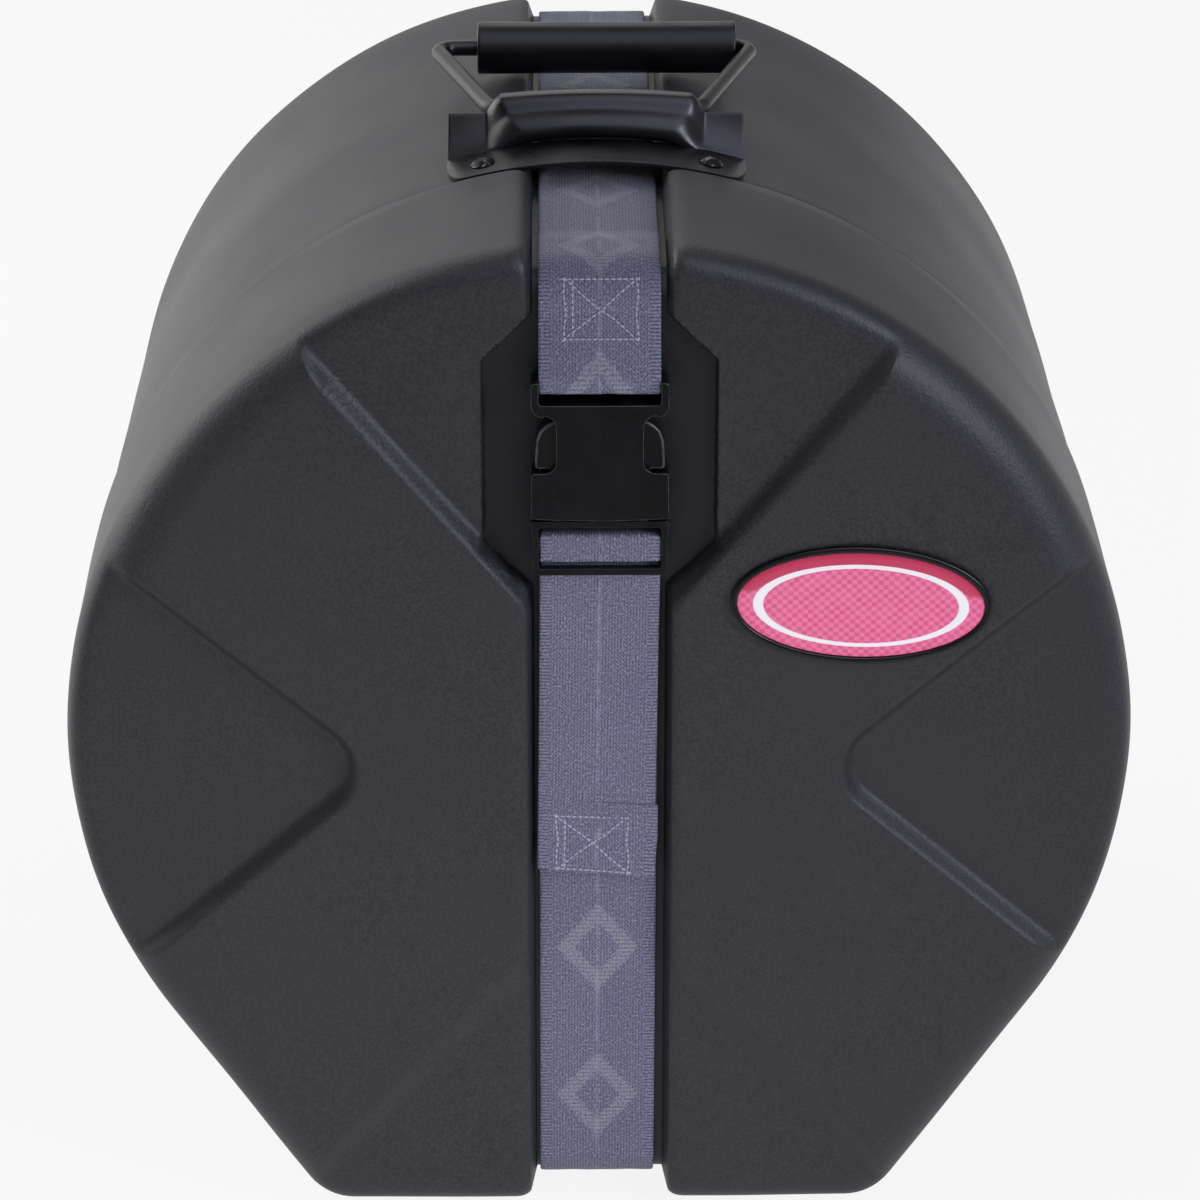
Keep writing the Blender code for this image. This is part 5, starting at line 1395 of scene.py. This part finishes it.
def badge(bezel_finish, plate_finish):
    """An oval moulded bezel round a bare domed plate."""
    seat = Y_FACE - TOUCH
    half_wide, half_high, lip = 0.0535, 0.026, 0.0026
    profile = [(lip, 0.0008), (lip, 0.0017)]
    profile += [(lip / 2 + lip / 2 * math.cos(t), 0.0017 + 0.0006 * math.sin(t))
                for t in np.linspace(0, math.pi, 9)[1:-1]]
    profile += [(0.0, 0.0015), (0.0, 0.0)]
    fit = lip + TOUCH
    domed = [(fit, 0.0011, 1.0)]
    domed += [(fit + 0.0004 * (share == 1), 0.0013 + 0.0009 * (1 - share ** 4), share)
              for share in np.linspace(1, 0, 12)]
    made = []
    for name, finish, angle, rings in (
        ("badge_bezel_ring", bezel_finish, 50, [(cut_in, up, 1.0) for cut_in, up in profile]),
        ("badge_plate_dome", plate_finish, 60, domed),
    ):
        rows = [oval((half_wide - cut_in) * share, (half_high - cut_in) * share, seat - up)
                for cut_in, up, share in rings]
        skin = Skin()
        skin.fan(rows[0])
        skin.grid(np.stack(rows), closed=True)
        if finish is bezel_finish:
            skin.fan(rows[-1])
        made.append(skin.make(name, finish, angle))
    turn = np.array([[math.cos(BADGE_TILT), -math.sin(BADGE_TILT)], [math.sin(BADGE_TILT), math.cos(BADGE_TILT)]])
    data = made[1].data
    unwrap(data, "plate", (np.array([vertex.co for vertex in data.vertices])[:, ::2] - (BADGE_X, BADGE_Z)) @ turn)
    return made


def place_camera():
    """The camera that was fitted to the photograph: its lens, its place and its aim."""
    focal_px, frame_px, sensor = 4694.3, 1200.0, 36.0
    pitch, yaw = 0.425707, 0.010793
    reach, slide, drop = 1.964944, -0.000274, -0.057166
    tip = Matrix(((1, 0, 0), (0, math.cos(pitch), -math.sin(pitch)), (0, math.sin(pitch), math.cos(pitch))))
    spin = Matrix(((math.cos(yaw), -math.sin(yaw), 0), (math.sin(yaw), math.cos(yaw), 0), (0, 0, 1)))
    view = tip @ spin
    spot = Vector((0, Y_FACE + RIM, AXIS_HEIGHT)) + view.transposed() @ Vector((-slide, -reach, -drop))
    data = bpy.data.cameras.new("camera")
    data.sensor_width = sensor
    data.lens = sensor * focal_px / frame_px
    camera = stand("camera", data)
    right, ahead, up = view
    camera.matrix_world = Matrix.Translation(spot) @ Matrix((right, up, -ahead)).transposed().to_4x4()
    bpy.context.scene.camera = camera


def lamp(name, spot, target, size, power, tint="ffffff", in_gloss=True):
    """A soft rectangular lamp, aimed at a point."""
    data = bpy.data.lights.new(name, "AREA")
    data.shape = "RECTANGLE"
    data.size, data.size_y = size
    data.energy = power
    data.color = colour(tint)[:3]
    item = stand(name, data)
    item.location = spot
    item.visible_camera = False
    item.visible_glossy = in_gloss
    item.rotation_euler = (Vector(target) - Vector(spot)).to_track_quat("-Z", "Y").to_euler()


def backdrop():
    """A world that the camera sees white and that lights the case dimly."""
    scene = bpy.context.scene
    scene.view_settings.view_transform = "Standard"
    world = bpy.data.worlds.new("studio")
    scene.world = world
    world.use_nodes = True
    tree = world.node_tree
    way = add(tree, "ShaderNodeTexCoord").outputs["Generated"]
    parts = add(tree, "ShaderNodeSeparateXYZ", way).outputs
    rays = add(tree, "ShaderNodeLightPath").outputs
    # In reflections the backdrop is brightest low and to the left, and a soft bluish panel hangs high in front.
    behind = 1.0
    for part, *ends in (("Y", -0.5, 0.5, 0.2, 1.0), ("X", -0.25, 0.35, 1.0, 0.5), ("Z", 0.15, 0.55, 1.0, 0.35)):
        behind = add(tree, MATH, add(tree, RANGE, parts[part], *ends), behind, operation="MULTIPLY")
    facing = add(tree, "ShaderNodeVectorMath", way, (0.37, -0.42, 0.83), operation="DOT_PRODUCT")
    panel = add(tree, RANGE, facing, 0.74, 0.97, 0.0, 1.0)
    in_gloss = add(tree, MATH, panel, 2.0, behind, operation="MULTIPLY_ADD")
    mirrored_rays = add(tree, MATH, rays["Is Glossy Ray"], rays["Is Transmission Ray"], operation="MAXIMUM")
    strength = add(tree, BLEND, mirrored_rays, 0.19, in_gloss)
    strength = add(tree, BLEND, rays["Is Camera Ray"], strength, 1.0)
    unseen = add(tree, MATH, 1.0, rays["Is Camera Ray"], operation="SUBTRACT")
    blue = add(tree, MATH, panel, unseen, operation="MULTIPLY")
    tint = add(tree, BLEND, blue, colour("ffffff"), colour("dfe3ff"), data_type="RGBA")
    fill(tree, tree.nodes["Background"], {"Strength": strength, "Color": tint})


def pale_floor():
    """A plain pale floor that keeps the case's shadow; in reflections it darkens towards the camera."""
    made, tree, shader, place = finish_named("pale_floor")
    fill(tree, shader, {"Base Color": colour("e6e6e8"), "Roughness": 0.9})
    rays = add(tree, "ShaderNodeLightPath").outputs
    mirrored_rays = add(tree, MATH, rays["Is Glossy Ray"], rays["Is Transmission Ray"], operation="MAXIMUM")
    ahead = add(tree, "ShaderNodeSeparateXYZ", place).outputs["Y"]
    strength = add(tree, BLEND, mirrored_rays, 1.0, add(tree, RANGE, ahead, -1.0, 0.3, 0.22, 1.0))
    glow = add(tree, "ShaderNodeEmission", colour("ffffff"), strength)
    seen = add(tree, MATH, rays["Is Camera Ray"], 0.88, operation="MULTIPLY")
    seen = add(tree, MATH, seen, mirrored_rays, operation="MAXIMUM")
    fill(tree, tree.nodes["Material Output"], {"Surface": add(tree, "ShaderNodeMixShader", seen, shader, glow)})
    reach, low = 6.0, -0.0006
    corners = [(-reach, -reach, low), (reach, -reach, low), (reach, reach, low), (-reach, reach, low)]
    stand("floor", net("floor", corners, [(0, 1, 2, 3)]), made)


def studio():
    """The backdrop, the floor and soft lamps."""
    backdrop()
    pale_floor()
    lamp("left", (-1.8, 0.7, 1.25), (0, 0, 0.25), (1.7, 2.2), 31)
    lamp("behind", (-0.3, 1.7, 1.9), (0, 0, 0.3), (1.4, 0.8), 5)
    lamp("low_front", (-0.1, -0.78, 0.09), (0, 0, 0.10), (1.1, 0.12), 2.6, in_gloss=False)
    lamp("right", (1.35, -1.1, 1.0), (0, 0, 0.25), (0.45, 0.8), 13.5, "ebedff")


def dress():
    """Every piece, its finish, and what it rides on."""
    shell_plastic = moulded_polyethylene()
    nylon_web = woven_nylon()
    foam = cut_foam()
    # Acetal moulded in an eroded tool: near black, with a low even sheen.
    acetal = satin("moulded_acetal", "08090b", "0e0f12", 0.30, 14, level=0.32)
    # The same plastic on the rounded edges: paler and glossier, partly wear from handling and partly a painted
    # highlight.
    worn_and_highlit_edge = satin("moulded_acetal_rubbed_edge", "2b2c31", "4a4b52", 0.24, 5)
    # Steel with a baked powder coat: blue-black, with soft long highlights.
    coated = satin("powder_coated_steel", "0c0d12", "14151c", 0.30, 22)
    # Wire with a thinner coat: a little greyer and duller.
    wire_coat = satin("coated_wire", "15161a", "1f2024", 0.36, 18)
    # Vinyl dipped on the sleeve: the darkest black, smooth and slightly soft.
    vinyl = satin("dipped_vinyl", "050609", "0a0b10", 0.35, 26, level=0.4, dent=0.05)
    # ABS from a polished tool: black with a tight highlight.
    gloss = satin("gloss_abs", "08090b", "0e0f12", 0.22, 12)
    # Zinc plate on pressed steel: a dull silver with faint blotches.
    zinc = satin("zinc_plated_steel", "6e7074", "8c8e92", 0.35, 6, metallic=1.0)
    sewing = thread()

    settle(lid_shell(shell_plastic), "lid", "shell_plastic", "case_lid")
    settle(body_shell(shell_plastic), "shell", "shell_plastic", "case_body")
    ring = foam_ring(foam)
    back_pad = foam_pad("foam_back_pad", Y_BACK - CAP_DEPTH - PAD_GAP, Y_BACK - BACK_PAD_REACH,
                        BODY_RADIUS - BODY_DRAFT, foam)
    lid_pad = foam_pad("foam_lid_pad", Y_FACE + CAP_DEPTH + PAD_GAP, Y_FACE + LID_PAD_REACH, LID_RADIUS, foam)
    linings = (ring, "shell", "side_foam"), (back_pad, "shell", "back_foam"), (lid_pad, "lid", "lid_foam")
    for lining, body, node in linings:
        settle(lining, body, "foam", node)

    strap = Strap()
    band = webbing(strap, nylon_web)
    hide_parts("strap_back", "strap_upper", "strap_lower")
    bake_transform(band)
    upper_box, tail_box, box_length = 0.4150, 0.1810, 0.024
    lines = stitch_box(strap, strap.where(upper_box), box_length, -0.0140, 0.0150, 1)
    lines += stitch_box(strap, strap.where(tail_box, from_end=True), box_length, -0.0165, 0.0130, -1, skew=0.02)
    settle(stitching("strap_stitches", lines, sewing), "lid", "webbing")

    settle(buckle_socket(acetal, worn_and_highlit_edge), "lid", "buckle_nylon", "buckle_female")
    settle(buckle_bar(acetal), "lid", "buckle_nylon")
    settle(buckle_frame(acetal, worn_and_highlit_edge), "lid", "buckle_nylon", "buckle_male")
    for side, word in ((-1, "left"), (1, "right")):
        prong = buckle_prong(side, word, acetal, worn_and_highlit_edge)
        settle(prong, f"prong_{word}", "buckle_nylon", f"buckle_prong_{word}")

    settle(handle_bracket(coated), "shell", "black_steel", "handle_bracket")
    settle(bail(wire_coat), "handle", "black_steel", "handle_bail")
    settle(grip(vinyl), "handle", "grip_vinyl", "handle_grip")
    names = [f"handle_rivet_{row}_{side}" for row in ("front", "back") for side in ("left", "right")]
    settle(rivets(rubbed_rivet()), "shell", "rivet_steel", *names)
    bezel, plate_dome = badge(gloss, printed_plate())
    settle(bezel, "lid", "bezel_plastic", "badge_bezel")
    settle(plate_dome, "lid", "badge_enamel", "badge_plate")
    for name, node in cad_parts.items():
        if name.startswith("rivet_washer"):
            node.data.materials.clear()
            node.data.materials.append(zinc)


dress()
studio()
place_camera()
